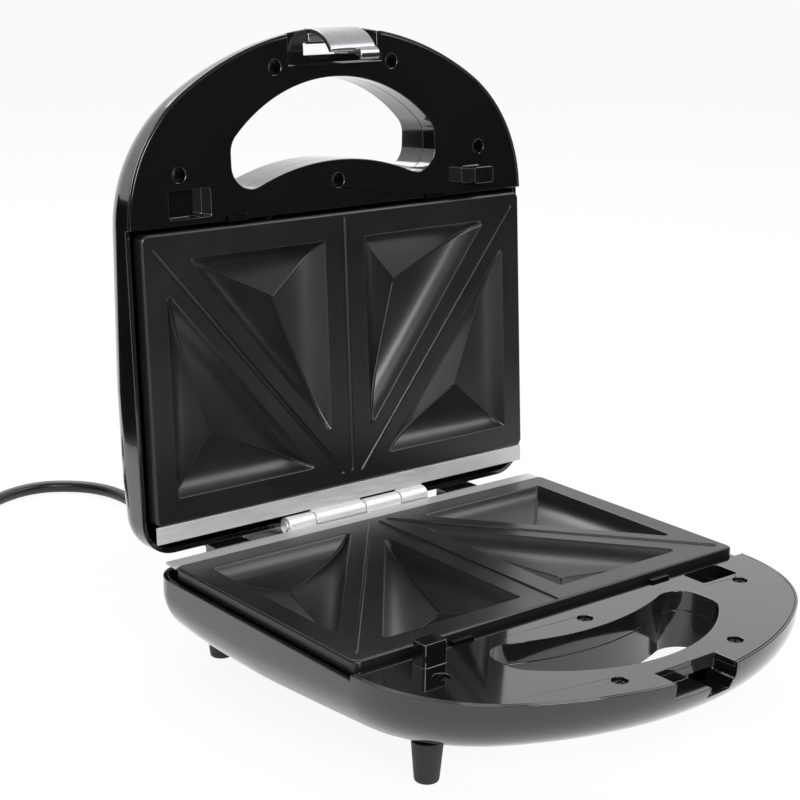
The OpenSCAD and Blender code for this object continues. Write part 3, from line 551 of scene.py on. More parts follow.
def roundedSection(x, width, height, radius):
    w, h = width / 2 - radius, height / 2 - radius
    return [(x, y, z) for cy, cz, turn in ((w, h, 0), (-w, h, 90), (-w, -h, 180), (w, -h, 270))
            for y, z in arc((cy, cz), radius, turn, turn + 90, 8)]


def plugBody():
    part = plug
    neck, end, wide, high = part["neck"], part["neck"] + part["length"], part["width"], part["height"]
    corner, steps = part["corner"], part["neckSteps"]
    rings = []
    for i in range(steps + 1):
        # collars on the flexible neck
        taper = part["neckFrom"] + (part["neckTo"] - part["neckFrom"]) * i / steps
        radius = taper - (part["collar"] if i % 3 == 1 else 0)
        rings.append(roundedSection(neck * i / steps, 2 * radius, 2 * radius, radius - 0.01))
    full = [(11, 25.3, high, 5.2), (14, wide, high, corner)]
    rings += [roundedSection(neck + ahead, w, h, r) for ahead, w, h, r in part["swell"] + full]
    for i in range(part["grips"]):
        # shallow finger grips across both sides
        x = neck + part["gripFrom"] + i * part["gripPitch"]
        rings += [roundedSection(x + along, wide - cut, high - cut / 2, corner)
                  for along, cut in part["grip"]]
    rings += [roundedSection(end - back, wide - cut, high - cut, corner) for back, cut in part["nose"]]
    body = asObject(stackMesh(rings))
    thick, tall = (size / 2 for size in part["blade"][:2])
    slack = part["slack"]
    for y in (-part["bladeGap"], part["bladeGap"]):
        combine(body, [boxMesh((end - part["bladeIn"], y - thick - slack, -tall - slack),
                               (end + 5, y + thick + slack, tall + slack))])
    body.data.transform(plugPlace())
    return body


def plugBlades():
    part = plug
    end = part["neck"] + part["length"]
    thick, tall, out = part["blade"]
    root, shoulder, tip = end - part["bladeIn"] + part["slack"], end + out - part["shoulder"], part["tip"]
    upright = Matrix.Rotation(math.radians(90), 4, "X")
    blades = []
    for side in (-1, 1):
        edge = [(root, -tall / 2), (shoulder, -tall / 2)]
        edge += arc((end + out - tip, 0), tip, -part["tipAngle"], part["tipAngle"], 8)
        edge += [(shoulder, tall / 2), (root, tall / 2)]
        blade = asObject(prismMesh(edge, -thick / 2, thick / 2))
        combine(blade, [disc((end + out - part["holeBack"], 0), part["hole"], -5, 5)])
        softenEdges(blade, part["soften"])
        blades.append(moved(asMesh(blade), Matrix.Translation((0, side * part["bladeGap"], 0)) @ upright))
    pair = asObject(joined(blades))
    pair.data.transform(plugPlace())
    return pair


tie = {
    "turn": 0.5,  # how far along the coil it is
    # the band's corners: distance out from the middle of the cord, and along the coil
    "band": [(3.42, -1.7), (3.42, 1.7), (4.1, 1.7), (4.25, 1.2), (4.25, -1.2), (4.1, -1.7)],
    "outside": 3.5, "overTable": (0.05, 0.3),  # how low the band's outer and inner corners may come
    "seat": 3.5, "head": (5.4, 5.4), "headCorner": 1, "headHeight": 3.6,
    "tail": (3.4, 1.1), "tailCorner": 0.3, "tailFrom": 3.5, "tailTo": 8}


def cordTie():
    # nylon tie round both layers of the coil, where one turn lies on the other
    spot, below, above = coilPoint(tie["turn"]), coilStart.z, coilStart.z + cord["lift"]
    outward = Vector((spot.x - coilMiddle.x, spot.y - coilMiddle.y, 0)).normalized()
    along = Vector((-outward.y, outward.x, 0))
    under = arc((0, 0), 1, -180, 0, 14)
    ring = [(u, v, below) for u, v in under] + [(-u, -v, above) for u, v in under]
    loops = []
    for reach, shift in tie["band"]:
        lowest = tie["overTable"][0] if reach > tie["outside"] else tie["overTable"][1]
        places = [(spot + outward * (u * reach) + along * shift, base + v * reach) for u, v, base in ring]
        loops.append([(place.x, place.y, max(z, lowest)) for place, z in places])
    head = roundedBlock((0, 0), tie["head"], tie["headCorner"], 0, tie["headHeight"])
    tail = roundedBlock((0, 0), tie["tail"], tie["tailCorner"], tie["tailFrom"], tie["tailTo"])
    onTop = Matrix.Translation((spot.x, spot.y, above + tie["seat"])) @ Matrix.Rotation(
        math.atan2(along.y, along.x), 4, "Z")
    whole = asObject(joined([stackMesh(loops, "joined"), moved(head, onTop), moved(tail, onTop)]))
    whole.data.transform(toMetres)
    return whole


lead, leadLength = cordCurve()
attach(lead, "base")
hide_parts("power_cord", "cord_coil")
reliefPiece = settle(
    strainRelief(), "strainReliefBoot", finish["plug"], "base", stands=["strain_relief"])
plugPiece = settle(plugBody(), "mouldedPlug", finish["plug"], "base", stands=["plug_body"])
bladePiece = settle(
    plugBlades(), "plugBladePair", finish["blade"], "base", stands=["plug_blades"])
tiePiece = settle(cordTie(), "cordTie", finish["tie"], "base")
print("cord is laid,", round(leadLength, 3), "m")

# casing halves
casing = {
    "halfWidth": 115, "front": 231, "frontRadius": 150, "cornerRadius": 70, "rearRadius": 16, "rearLip": 2,
    "depth": 36, "edgeRadius": 20, "wall": 2.4, "coverPlane": 3.8, "coverThickness": 2.4, "sidePlane": 6.3,
    "panelStart": 147.2, "rim": 1.2, "seamDepth": 13, "soften": 0.35,
    # the depth is full between rearFull and deepest, and less by each rise at the ends of their spans
    "rearFull": 50, "rearSpan": 52, "rearRise": 4.5, "deepest": 75, "frontSpan": 136, "frontRise": 9.2,
    "frontPower": 1.15, "middle": (0, -95),
    # two lugs behind the base's rear wall, over which the open lid comes to stand
    "lugs": [((-80, 0.5, -12), (-60, 9.5, -3)), ((60, 0.5, -12), (80, 9.5, -3))]}
# the front and corner arcs meet at this angle, where they have one tangent
cornerX = casing["halfWidth"] - casing["cornerRadius"]
between = casing["frontRadius"] - casing["cornerRadius"]
tangentAngle = math.degrees(math.asin(cornerX / between))
frontCentre = casing["frontRadius"] - casing["front"]
cornerY = frontCentre - between * math.cos(math.radians(tangentAngle))
coverFloor = casing["coverPlane"] + casing["coverThickness"]
# far enough out for a cut to pass right through a half
past = {"wide": casing["halfWidth"] * 2, "far": casing["front"] * 2, "low": -60, "high": 20}


def halfOutline(inset):
    # right half, from the middle of the front to the middle of the rear
    right = arc((0, frontCentre), casing["frontRadius"] - inset, -90, -90 + tangentAngle, 18)[:-1]
    right += arc((cornerX, cornerY), casing["cornerRadius"] - inset, -90 + tangentAngle, 0, 22)
    r = max(casing["rearRadius"] - inset, 2)
    x, y = casing["halfWidth"] - inset, casing["rearLip"] - inset
    right += [(x, cornerY + (y - r - cornerY) * i / 24) for i in range(1, 24)]
    right += arc((x - r, y - r), r, 0, 90, 10)
    right += [((x - r) * (1 - i / 16), y) for i in range(1, 17)]
    return right


def bothSides(right):
    return right + [(-x, y) for x, y in right[-2:0:-1]]


def outline(inset):
    return bothSides(halfOutline(inset))


def depthAt(s):
    # s is the distance from the hinge axis towards the handle
    if s > casing["deepest"]:
        share = (s - casing["deepest"]) / casing["frontSpan"]
        return casing["depth"] - casing["frontRise"] * share ** casing["frontPower"]
    if s < casing["rearFull"]:
        return casing["depth"] - casing["rearRise"] * ((casing["rearFull"] - s) / casing["rearSpan"]) ** 2
    return casing["depth"]


def bowl(inset, top):
    radius = casing["edgeRadius"] - inset
    rings = [[(x, y, top) for x, y in outline(inset)]]
    for step in range(0, 19):
        turn = math.radians(5 * step)
        rings.append([(x, y, casing["edgeRadius"] - depthAt(-y) - radius * math.sin(turn))
                      for x, y in outline(inset + radius * (1 - math.cos(turn)))])
    last = outline(casing["edgeRadius"])
    middle = casing["middle"]
    for share in (0.12, 0.26, 0.42, 0.6, 0.78, 0.92):
        ring = [(x + (middle[0] - x) * share, y + (middle[1] - y) * share) for x, y in last]
        rings.append([(x, y, inset - depthAt(-y)) for x, y in ring])
    return stackMesh(rings)


handHole = {
    "frontRadius": 79, "rearRadius": 115, "bar": 22.7, "depth": 38.3, "halfWidth": 59.5, "corner": 11,
    "wall": 2}


def handHoleOutline(grow):
    # arcs of the front, the rounded end and the rear, mirrored
    front, rear, corner = handHole["frontRadius"], handHole["rearRadius"], handHole["corner"]
    frontY = front - (casing["front"] - handHole["bar"])
    rearY = rear - (casing["front"] - handHole["bar"] - handHole["depth"])
    x = handHole["halfWidth"] - corner
    lowY = frontY - math.sqrt((front - corner) ** 2 - x * x)
    highY = rearY - math.sqrt((rear + corner) ** 2 - x * x)
    lowAngle = math.degrees(math.atan2(lowY - frontY, x))
    highAngle = math.degrees(math.atan2(rearY - highY, -x))
    right = arc((0, frontY), front + grow, -90, lowAngle, 16)
    right += arc((x, lowY), corner + grow, lowAngle, 0, 8)[1:]
    right += arc((x, highY), corner + grow, 0, highAngle, 10)
    right += arc((0, rearY), rear - grow, highAngle - 180, -90, 14)[1:]
    return bothSides(right)


# a notch in each half's front lets the latch by: from x, to x, how far forward it starts, and its depth
latchNotch = {"base": (-18, 17, 217.5, 11), "lid": (-26, 28, 214.5, 7)}
notchWall, notchReach = 3, 5  # what is left round a notch, and how far out its box reaches
# what is cut away besides: for the catch in the base, and for the strip and the hook in the lid
latchRoom = {
    "base": [((2.4, -past["far"], -16), (16, -214, -10))],
    "lid": [((-12.3, -past["far"], -14), (14.3, -221, past["high"])),
            ((-15, -224, past["low"]), (15, -218.5, past["high"]))]}


def casingHalf(half):
    shell = asObject(bowl(0, -casing["coverPlane"]))
    cavity = asObject(bowl(casing["wall"], 1))
    low, high, start, depth = latchNotch[half]
    combine(cavity, [
        prismMesh(handHoleOutline(handHole["wall"]), past["low"], -casing["seamDepth"]),
        boxMesh((low - notchWall, -casing["front"] - notchReach, past["low"]),
                (high + notchWall, -start + notchWall, 0))])
    combine(shell, [
        asMesh(cavity),
        boxMesh((-past["wide"], -casing["panelStart"], -casing["sidePlane"]),
                (past["wide"], past["far"], past["high"])),
        prismMesh(outline(casing["rim"]), -coverFloor, past["high"]),
        prismMesh(handHoleOutline(0), past["low"], past["high"]),
        boxMesh((low, -past["far"], -depth), (high, -start, past["high"]))])
    combine(shell, [boxMesh(*corners) for corners in latchRoom[half]])
    if half == "base":
        combine(shell, [boxMesh(*corners) for corners in casing["lugs"]], "UNION")
    return softenEdges(shell, casing["soften"])


for half, node in (("base", "base_shell"), ("lid", "lid_shell")):
    shell = casingHalf(half)
    settle(shell, half + "Casing", finish["casing"], half, half, [node])
    print("casing half", half, len(shell.data.vertices))

# handle covers: the peg and its pocket stand at either side, and swap sides between the halves
cover = {
    "gap": 0.15, "skirt": 2, "seamGap": 0.1, "sunk": 0.2, "under": 0.001, "soften": 0.3,
    "wallFrom": 111, "wallThickness": 2, "wallBottom": 12,
    "pegX": 82.5, "pegAt": 156.5, "peg": (12, 8, 10), "pegCorner": 1.2,
    "pocket": (22, 13, 11.5), "pocketCorner": 1.5, "pocketWall": 1.5, "pocketBottom": 13,
    "clipX": 58, "clip": (12, 5), "clipForward": 0.5, "clipBottom": 13, "screwRecess": 3.4, "screwFloor": 5.7}
coverScrews = [(0, -160.2), (87.5, -169.7), (-87.5, -169.7), (33.8, -214), (-33.8, -214)]


def coverPanel(half):
    side = -1 if half == "base" else 1
    top, back, high = -casing["coverPlane"], -casing["panelStart"], past["high"]
    panel = asObject(prismMesh(outline(casing["rim"] + cover["gap"]), -coverFloor, top))
    combine(panel, [boxMesh((-past["wide"], back, past["low"]), (past["wide"], past["far"], high))])
    pegPlace, pocketPlace = (side * cover["pegX"], -cover["pegAt"]), (-side * cover["pegX"], -cover["pegAt"])
    pegLong, pegWide, pegHigh = cover["peg"]
    pocketLong, pocketWide, pocketDeep = cover["pocket"]
    sunk, bottom = top - cover["sunk"], -cover["pocketBottom"]
    outside = (pocketLong + 2 * cover["pocketWall"], pocketWide + 2 * cover["pocketWall"])
    combine(panel, [
        prismMesh(handHoleOutline(cover["skirt"]), cover["seamGap"] - casing["seamDepth"], sunk),
        boxMesh((-cover["wallFrom"], back - cover["wallThickness"], -cover["wallBottom"]),
                (cover["wallFrom"], back, top - cover["under"])),
        roundedBlock(pegPlace, (pegLong, pegWide), cover["pegCorner"], -coverFloor, top + pegHigh),
        block(pocketPlace, outside, bottom, sunk)], "UNION")
    notchFrom, notchTo, start = latchNotch[half][:3]
    cuts = [
        prismMesh(handHoleOutline(0), past["low"], high),
        roundedBlock(pocketPlace, (pocketLong, pocketWide), cover["pocketCorner"], -pocketDeep, high),
        boxMesh((notchFrom, -past["far"], past["low"]), (notchTo, -start, high))]
    cuts += [disc(place, cover["screwRecess"], -cover["screwFloor"], high) for place in coverScrews]
    cuts += [block((x, back + cover["clipForward"]), cover["clip"], -cover["clipBottom"], high)
             for x in (-cover["clipX"], cover["clipX"])]
    combine(panel, cuts)
    return softenEdges(panel, cover["soften"])


for half, node in (("base", "base_cover"), ("lid", "lid_cover")):
    settle(coverPanel(half), half + "HandleCover", finish["cover"], half, half, [node])
print("handle covers are made")

# plates
plate = {
    "plane": 0.3, "thickness": 1.6, "halfWidth": 111, "rear": 13.2, "front": 145.2, "cornerRadius": 3.5,
    "leastRadius": 0.3, "skirt": 6, "edge": 1.3,
    # a pocket's lip and fall, and where its rings begin and end
    "lipDepth": 6.2, "lipReach": 3.6, "fall": 0.155, "ease": 0.45, "pocketCorner": 1.6, "cutFrom": 2,
    "skinFrom": 0.5, "ringsEnd": 3, "lastRings": (2.2, 1),
    "crease": 0.5, "creaseFrom": 1.5, "creaseRings": 1, "creaseEnd": 0.6,
    # pressed lines: from and to, then width and height of the lower plate's ridges and the upper's furrows
    "lines": [((0, -143.8), (0, -19.4)), ((-106, -139), (-5, -19)), ((106, -139), (5, -19))],
    "ridge": (1.7, 0.7), "furrow": (3, 1.1),
    # at an end of a line: distance in, and the share of its full section
    "lineEnd": [(0, 0.35), (0.5, 0.8), (1.2, 1)]}
# right-angled corner, then the ends of its two legs, for the right-hand pockets
pocketCorners = {
    "handle": [(11.5, -133), (88, -133), (11.5, -38)],
    "hinge": [(99.5, -24.4), (20.5, -24.4), (99.5, -120)]}
insetSteps = [-0.06, 0.15, 0.35, 0.6, 0.9, 1.3, 1.8, 2.4, 3.1, 4, 5, 6.5, 8.5, 11, 14, 17.5]


def pocketDepth(d):
    # depth at a distance in from the pocket's edge: a rounded lip, and then an even fall
    eased = math.sqrt(d * d + plate["ease"] ** 2) - plate["ease"] if d > 0 else 0
    return plate["lipDepth"] * (1 - math.exp(-eased / plate["lipReach"])) + plate["fall"] * eased


def pocketMiddle(points):
    # middle and radius of the circle that touches all three sides of a right-angled triangle
    one, other = points[1] - points[0], points[2] - points[0]
    inner = (one.length + other.length - (points[2] - points[1]).length) / 2
    return points[0] + (one.normalized() + other.normalized()) * inner, inner


def roundedCorners(points, radius):
    # replaces each corner of a polygon by an arc
    result = []
    for i, here in enumerate(points):
        back = (points[i - 1] - here).normalized()
        ahead = (points[(i + 1) % len(points)] - here).normalized()
        half = back.angle(ahead) / 2
        middle = here + (back + ahead).normalized() * (radius / math.sin(half))
        start = (here + back * (radius / math.tan(half))) - middle
        end = (here + ahead * (radius / math.tan(half))) - middle
        sweep = start.angle_signed(end)
        for k in range(6):
            turn = -sweep * k / 5
            result.append((middle.x + start.x * math.cos(turn) - start.y * math.sin(turn),
                           middle.y + start.x * math.sin(turn) + start.y * math.cos(turn)))
    return result


def pocketMesh(points, grow):
    # rings of the triangle shrinking to its middle; grow adds the sheet's thickness for the outer skin
    middle, inner = pocketMiddle(points)
    edge = roundedCorners(points, plate["pocketCorner"])
    top = -plate["plane"] - plate["skinFrom"] if grow else plate["cutFrom"]
    steps = [d for d in insetSteps if d < inner - plate["ringsEnd"]] + [inner - d for d in plate["lastRings"]]

    def ring(d, z):
        size = (inner + grow - d) / inner
        return [(middle.x + (x - middle.x) * size, middle.y + (y - middle.y) * size, z) for x, y in edge]

    bm = bmesh.new()
    rings = [ring(steps[0], top)] + [ring(d, -plate["plane"] - pocketDepth(d) - grow) for d in steps]
    rows = addStack(bm, rings, "open")
    bm.faces.new(rows[0])
    tip = bm.verts.new((middle.x, middle.y, -plate["plane"] - pocketDepth(inner) - grow))
    last = rows[-1]
    for j in range(len(last)):
        bm.faces.new((last[j], tip, last[(j + 1) % len(last)]))
    bmesh.ops.recalc_face_normals(bm, faces=bm.faces)
    return bm


def creaseMesh(points, which):
    # a thin pressed line that runs down from one corner of a pocket to its deepest point
    middle, inner = pocketMiddle(points)
    corner, size = points[which], plate["crease"]
    inward = (middle - corner).normalized()
    half = math.asin(min(inner / (middle - corner).length, 1))
    start = corner + inward * plate["pocketCorner"] * (1 / math.sin(half) - 1)
    side = Vector((-inward.y, inward.x))
    steps = [d for d in insetSteps if plate["creaseFrom"] < d < inner - plate["creaseRings"]]
    rings = []
    for d in steps + [inner - plate["creaseEnd"]]:
        place = middle + (start - middle) * ((inner - d) / inner)
        z = -plate["plane"] - pocketDepth(d)
        rings.append([(place.x + side.x * size * math.cos(turn), place.y + side.y * size * math.cos(turn),
                       z + size * math.sin(turn)) for turn in (math.pi * k / 5 for k in range(10))])
    return stackMesh(rings)


def plateRing(inset, z):
    radius = max(plate["cornerRadius"] - inset, plate["leastRadius"])
    x, rear, front = plate["halfWidth"] - inset, -plate["rear"] - inset, -plate["front"] + inset
    corners = [(x - radius, rear - radius, 0), (radius - x, rear - radius, 90),
               (radius - x, front + radius, 180), (x - radius, front + radius, 270)]
    return [(px, py, z) for cx, cy, turn in corners for px, py in arc((cx, cy), radius, turn, turn + 90, 8)]


def bar(start, end, width, height):
    # bar of round section along the plate, its ends rounded off
    start, end = Vector(start), Vector(end)
    along = (end - start).normalized()
    side = Vector((-along.y, along.x))
    stations = [(start + along * shift, share) for shift, share in plate["lineEnd"]]
    stations += [(end - along * shift, share) for shift, share in plate["lineEnd"][::-1]]
    rings = []
    for place, share in stations:
        ring = []
        for k in range(16):
            turn = math.pi * k / 8
            offset = side * (width / 2 * share * math.cos(turn))
            z = -plate["plane"] + height * share * math.sin(turn)
            ring.append((place.x + offset.x, place.y + offset.y, z))
        rings.append(ring)
    return stackMesh(rings)


def plateHalf(half):
    low, edge, sheet = -plate["plane"] - plate["skirt"], plate["edge"], plate["thickness"]
    rings = []
    for step in range(0, 7):
        turn = math.radians(15 * step)
        rings.append(plateRing(edge * (1 - math.sin(turn)), -plate["plane"] - edge * (1 - math.cos(turn))))
    whole = asObject(stackMesh(rings + [plateRing(0, low)]))
    combine(whole, [stackMesh([plateRing(sheet, -plate["plane"] - sheet), plateRing(sheet, low - 2)])])
    pockets = [[Vector((side * x, y)) for x, y in corners]
               for corners in pocketCorners.values() for side in (1, -1)]
    combine(whole, [pocketMesh(points, sheet) for points in pockets], "UNION")
    combine(whole, [pocketMesh(points, 0) for points in pockets])
    combine(whole, [joined([creaseMesh(points, which) for points in pockets]) for which in range(3)])
    if half == "base":
        return combine(whole, [bar(start, end, *plate["ridge"]) for start, end in plate["lines"]], "UNION")
    return combine(whole, [bar(start, end, *plate["furrow"]) for start, end in plate["lines"]])


for half, node in (("base", "lower_plate"), ("lid", "upper_plate")):
    piece = plateHalf(half)
    settle(piece, half + "CookingPlate", finish["nonStick"], half, half, [node], sharp=32)
    print("plate", half, len(piece.data.vertices))

# hinge: the spans at "base" and "lid" are where each leaf's knuckles begin and end along x
hingeParts = {
    "stripHalf": 110.5, "stripFrom": 4.9, "stripTo": 13, "top": 0.9, "sheet": 1.4, "tab": (62, 88, 17),
    "tabOverlap": 0.3, "neckShort": 0.15, "neckOverlap": 0.8, "neckTo": 2.2, "soften": 0.25,
    # the last value on the next line is how far from the hinge axis the knuckles' painted highlight reaches
    "barrel": 4.2, "bore": 2.55, "gap": 0.3, "highlightTo": 4.25,
    # at a knuckle's end, inside and outside: distance from that surface, and distance along
    "boreEdge": [(0, 0.35), (0.3, 0)], "barrelEdge": [(0.45, 0), (0.13, 0.13), (0, 0.45)],
    "base": [(-41.5, -25.5), (4.5, 26.5)], "lid": [(-25.5, 4.5), (26.5, 43.5)]}
hingePin = {"radius": 2.5, "from": -42, "length": 86, "end": [(2.2, 0), (0.5, 0), (0.15, 0.15), (0, 0.5)]}


def bothEnds(profile, length):
    # a profile of (radius, distance from the end), and again from the far end back
    return profile + [(r, length - h) for r, h in profile[::-1]]


def alongX(bm, x=0, y=0, z=0):
    return moved(bm, Matrix.Translation((x, y, z)) @ Matrix.Rotation(math.radians(90), 4, "Y"))


def knuckle(start, end):
    # a rolled eye: a tube with rounded ends
    part = hingeParts
    profile = [(part["bore"] + out, along) for out, along in part["boreEdge"]]
    profile += [(part["barrel"] - cut, along) for cut, along in part["barrelEdge"]]
    profile = bothEnds(profile, end - start - 2 * part["gap"])
    return alongX(latheMesh(profile, 56, closed=True), start + part["gap"])


def hingeLeaf(half):
    part = hingeParts
    low, high, far = -part["top"] - part["sheet"], -part["top"], -part["stripTo"]
    leaf = asObject(boxMesh((-part["stripHalf"], far, low), (part["stripHalf"], -part["stripFrom"], high)))
    tabFrom, tabTo, deep = part["tab"]
    unions = [boxMesh((min(side * tabFrom, side * tabTo), far, -deep),
                      (max(side * tabFrom, side * tabTo), far + part["sheet"], low + part["tabOverlap"]))
              for side in (-1, 1)]
    unions += [boxMesh((start + part["neckShort"], -part["stripFrom"] - part["neckOverlap"], low),
                       (end - part["neckShort"], -part["neckTo"], high)) for start, end in part[half]]
    combine(leaf, unions, "UNION")
    softenEdges(leaf, part["soften"])
    return combine(leaf, [knuckle(start, end) for start, end in part[half]], "UNION")


def paintKnuckleHighlight(leaf):
    # the rolled eyes take a second, lighter copy of the strip's plated steel: a painted highlight where light
    # catches the barrel
    leaf.data.materials.append(finish["barrel"])
    reach = hingeParts["highlightTo"] * mm
    for face in leaf.data.polygons:
        if math.hypot(face.center.y - hinge.y, face.center.z - hinge.z) < reach:
            face.material_index = 1


for half, node in (("base", "base_hinge_leaf"), ("lid", "lid_hinge_leaf")):
    leaf = settle(hingeLeaf(half), half + "HingeLeaf", finish["strip"], half, half, [node])
    paintKnuckleHighlight(leaf)
pinEnd = [(hingePin["radius"] - cut, along) for cut, along in hingePin["end"]]
pin = alongX(latheMesh(bothEnds(pinEnd, hingePin["length"]), 40), hingePin["from"])
settle(asObject(pin), "hingePin", finish["barrel"], "base", "base", ["hinge_pin"])
print("hinge is made")

# cover screws
screwHead = {
    "radius": 3, "height": 1.3, "crown": 0.5, "edge": 0.15, "underDome": 0.05, "length": 9, "shank": 1.5,
    "point": [(0.4, 0), (1.1, 0.6)], "pointLength": 1.6, "cross": (4.2, 0.75, 0.85),
    "dome": (15, 30, 45, 60, 75, 86)}
# degrees that the crosses are turned by, in the order of coverScrews
screwTurns = {"base": (20, 65, 35, 50, 10), "lid": (40, 15, 60, 5, 75)}


def crossScrew():
    part = screwHead
    r, h, crown, edge, length = part["radius"], part["height"], part["crown"], part["edge"], part["length"]
    profile = [(radius, -length + along) for radius, along in part["point"]]
    profile += [(part["shank"], -length + part["pointLength"]), (part["shank"], 0), (r - edge, 0), (r, edge),
                (r, h - crown - part["underDome"])]
    profile += [(r * math.cos(math.radians(a)), h - crown + crown * math.sin(math.radians(a)))
                for a in part["dome"]]
    screw = asObject(latheMesh(profile, 36))
    span, width, depth = part["cross"]
    combine(screw, [boxMesh((-span / 2, -width / 2, h - depth), (span / 2, width / 2, 5)),
                    boxMesh((-width / 2, -span / 2, h - depth), (width / 2, span / 2, 5))])
    return asMesh(screw)


def screwSet(half):
    parts = []
    for (x, y), turn in zip(coverScrews, screwTurns[half]):
        place = Matrix.Translation((x, y, -cover["screwFloor"]))
        parts.append(moved(crossScrew(), place @ Matrix.Rotation(math.radians(turn), 4, "Z")))
    return asObject(joined(parts))


for half, node in (("base", "base_cover_screws"), ("lid", "lid_cover_screws")):
    settle(screwSet(half), half + "CoverScrews", finish["screw"], half, half, [node])
print("cover screws are made")

# latch, side view in the closed toaster's frame: a bowed strip hangs from its eye and ends in a hook
latch = {
    "fromX": -12, "toX": 14, "eye": (-226, 9), "eyeRadius": 2.6, "bore": 1.25, "bowCentre": (-212, 6),
    "bowRadius": 17.5, "thickness": 2.2, "bowEnd": 9.0, "hookFrom": 3, "catch": 217.5, "soften": 0.4,
    # the head: where its inside leaves the bow, where the eye's round starts, and its outer shoulder
    "insideTop": 7.4, "eyeFrom": -68, "beforeEye": 3, "dip": 0.05, "shoulderIn": 0.5, "shoulderTop": 11,
    "shoulder": 10.4,
    # the hook's outline about the catch
    "hook": [(-4, -8.4), (-1.2, -8), (-0.5, -9), (-0.5, -11.3), (1.5, -11.3), (1.35, -12.4), (0.6, -12.9),
             (-0.6, -13), (-1.8, -12.9), (-2.9, -12.2), (-3.7, -11.2), (-4, -10.4)]}


def latchBody():
    part = latch
    r, half = part["bowRadius"], part["thickness"] / 2
    # the bow ends bowEnd in front of its centre
    swing = math.degrees(math.acos(part["bowEnd"] / r))
    outer = arc(part["bowCentre"], r + half, 180, 180 + swing, 22)
    inner = arc(part["bowCentre"], r - half, 180 + swing, 180, 22)
    (ox, oz), (ix, iz) = outer[-1], inner[0]
    tip = arc(((ox + ix) / 2, (oz + iz) / 2), half, swing - 180, swing, 8)[1:-1]
    eyeY, eyeZ = part["eye"]
    head = [(inner[-1][0], part["insideTop"])] + arc((eyeY, eyeZ), part["eyeRadius"], part["eyeFrom"], 90, 16)
    head += [(eyeY - part["beforeEye"], eyeZ + part["eyeRadius"] - part["dip"]),
             (outer[0][0] + part["shoulderIn"], part["shoulderTop"]), (outer[0][0], part["shoulder"])]
    strip = asObject(sideways(outer + tip + inner + head, part["fromX"], part["toX"]))
    combine(strip, [alongX(disc((0, 0), part["bore"], -60, 60), 0, eyeY, eyeZ)])
    hook = sideways([(y - part["catch"], z) for y, z in part["hook"]], part["hookFrom"], part["toX"])
    combine(strip, [hook], "UNION")
    softenEdges(strip, part["soften"], 40)
    strip.data.transform(halfPlace["closed"])
    return strip


settle(latchBody(), "closingLatch", finish["latch"], "latch", stands=["latch"])
print("latch is made")

# feet: the sole's edge as (radius, height), then shares of the way up its side
foot = {
    "sole": [(0.3, 0.25), (3.2, 0), (4.1, 0), (4.6, 0.12), (4.95, 0.4), (5.15, 0.9), (5.25, 1.6)],
    "side": (0.12, 0.3, 0.5, 0.7, 0.9), "top": 6.7, "topEdge": [(0.03, 0.35), (0.3, 0)],
    "peg": 2.5, "pegHeight": 4, "pegEdge": 0.3}


def footPair(node):
    low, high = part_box(node)
    height = (high.z - low.z) / mm - foot["pegHeight"]
    radius, start = foot["sole"][-1]
    peg, top, edge = foot["peg"], height + foot["pegHeight"], foot["pegEdge"]
    profile = foot["sole"] + [
        (radius + (foot["top"] - radius) * t, start + (height - start) * t) for t in foot["side"]]
    profile += [(foot["top"] - cut, height - below) for cut, below in foot["topEdge"]]
    profile += [(peg, height), (peg, top - edge), (peg - edge, top)]
    middle = (low.y + high.y) / 2
    return asObject(joined([moved(latheMesh(profile, 44), Matrix.Translation((x, middle, low.z)) @ toMetres)
                            for x in (low.x + foot["top"] * mm, high.x - foot["top"] * mm)]))


for node, name in (("front_feet", "frontFeet"), ("rear_feet", "rearFeet")):
    settle(footPair(node), name, finish["foot"], "base", stands=[node])

# lenses: domed buttons in the lid's outer wall, each with a flange inside that holds it
lens = {
    "x": 22, "at": 156.2, "top": 31.13, "radius": 3, "dome": 0.75, "angles": (8, 20, 34, 48, 62, 76),
    "seat": 3.3, "flange": 4.4, "flangeThickness": 1.2, "flangeEdge": 0.15, "length": 6, "endEdge": 0.2}


def lensPair():
    part = lens
    r, seat, flange, edge = part["radius"], part["seat"], part["flange"], part["flangeEdge"]
    profile = [(r * math.sin(math.radians(a)), part["dome"] * (1 - math.cos(math.radians(a))))
               for a in part["angles"]]
    beyond = seat + part["flangeThickness"]
    profile += [(r, part["dome"]), (r, seat), (flange - edge, seat), (flange, seat + edge),
                (flange, beyond - edge), (flange - edge, beyond), (r, beyond),
                (r, part["length"] - part["endEdge"]), (r - part["endEdge"], part["length"])]
    return asObject(joined([
        moved(latheMesh(profile, 36), Matrix.Translation((x, -part["at"], -part["top"])))
        for x in (-part["x"], part["x"])]))


settle(lensPair(), "indicatorLenses", finish["lens"], "lid", "lid", ["indicator_lenses"])
print("feet and lenses are made")

# pieces that stay as they are, in their real finishes
carried = {
    "element": ["lower_element", "upper_element"],
    "tray": ["lower_heat_shield", "upper_heat_shield"],
    "ceramic": ["thermostat", "thermal_fuse", "terminal_block", "cord_clamp"],
    "blackSleeve": ["base_wiring", "lid_wiring"],
    "innerScrew": [
        "clamp_screws", "lower_plate_screws", "upper_plate_screws", "base_hinge_screws", "lid_hinge_screws"],
    "clip": ["lower_plate_clips", "upper_plate_clips"],
    "barrel": ["latch_pin"],
    "lamp": ["indicator_lamps"]}
for kind, nodes in carried.items():
    for node in nodes:
        mesh = frame["nodes"][node].data
        for slot in range(len(mesh.materials)):
            mesh.materials[slot] = finish[kind]
        if not mesh.materials:
            mesh.materials.append(finish[kind])
print("carried pieces have their finishes")

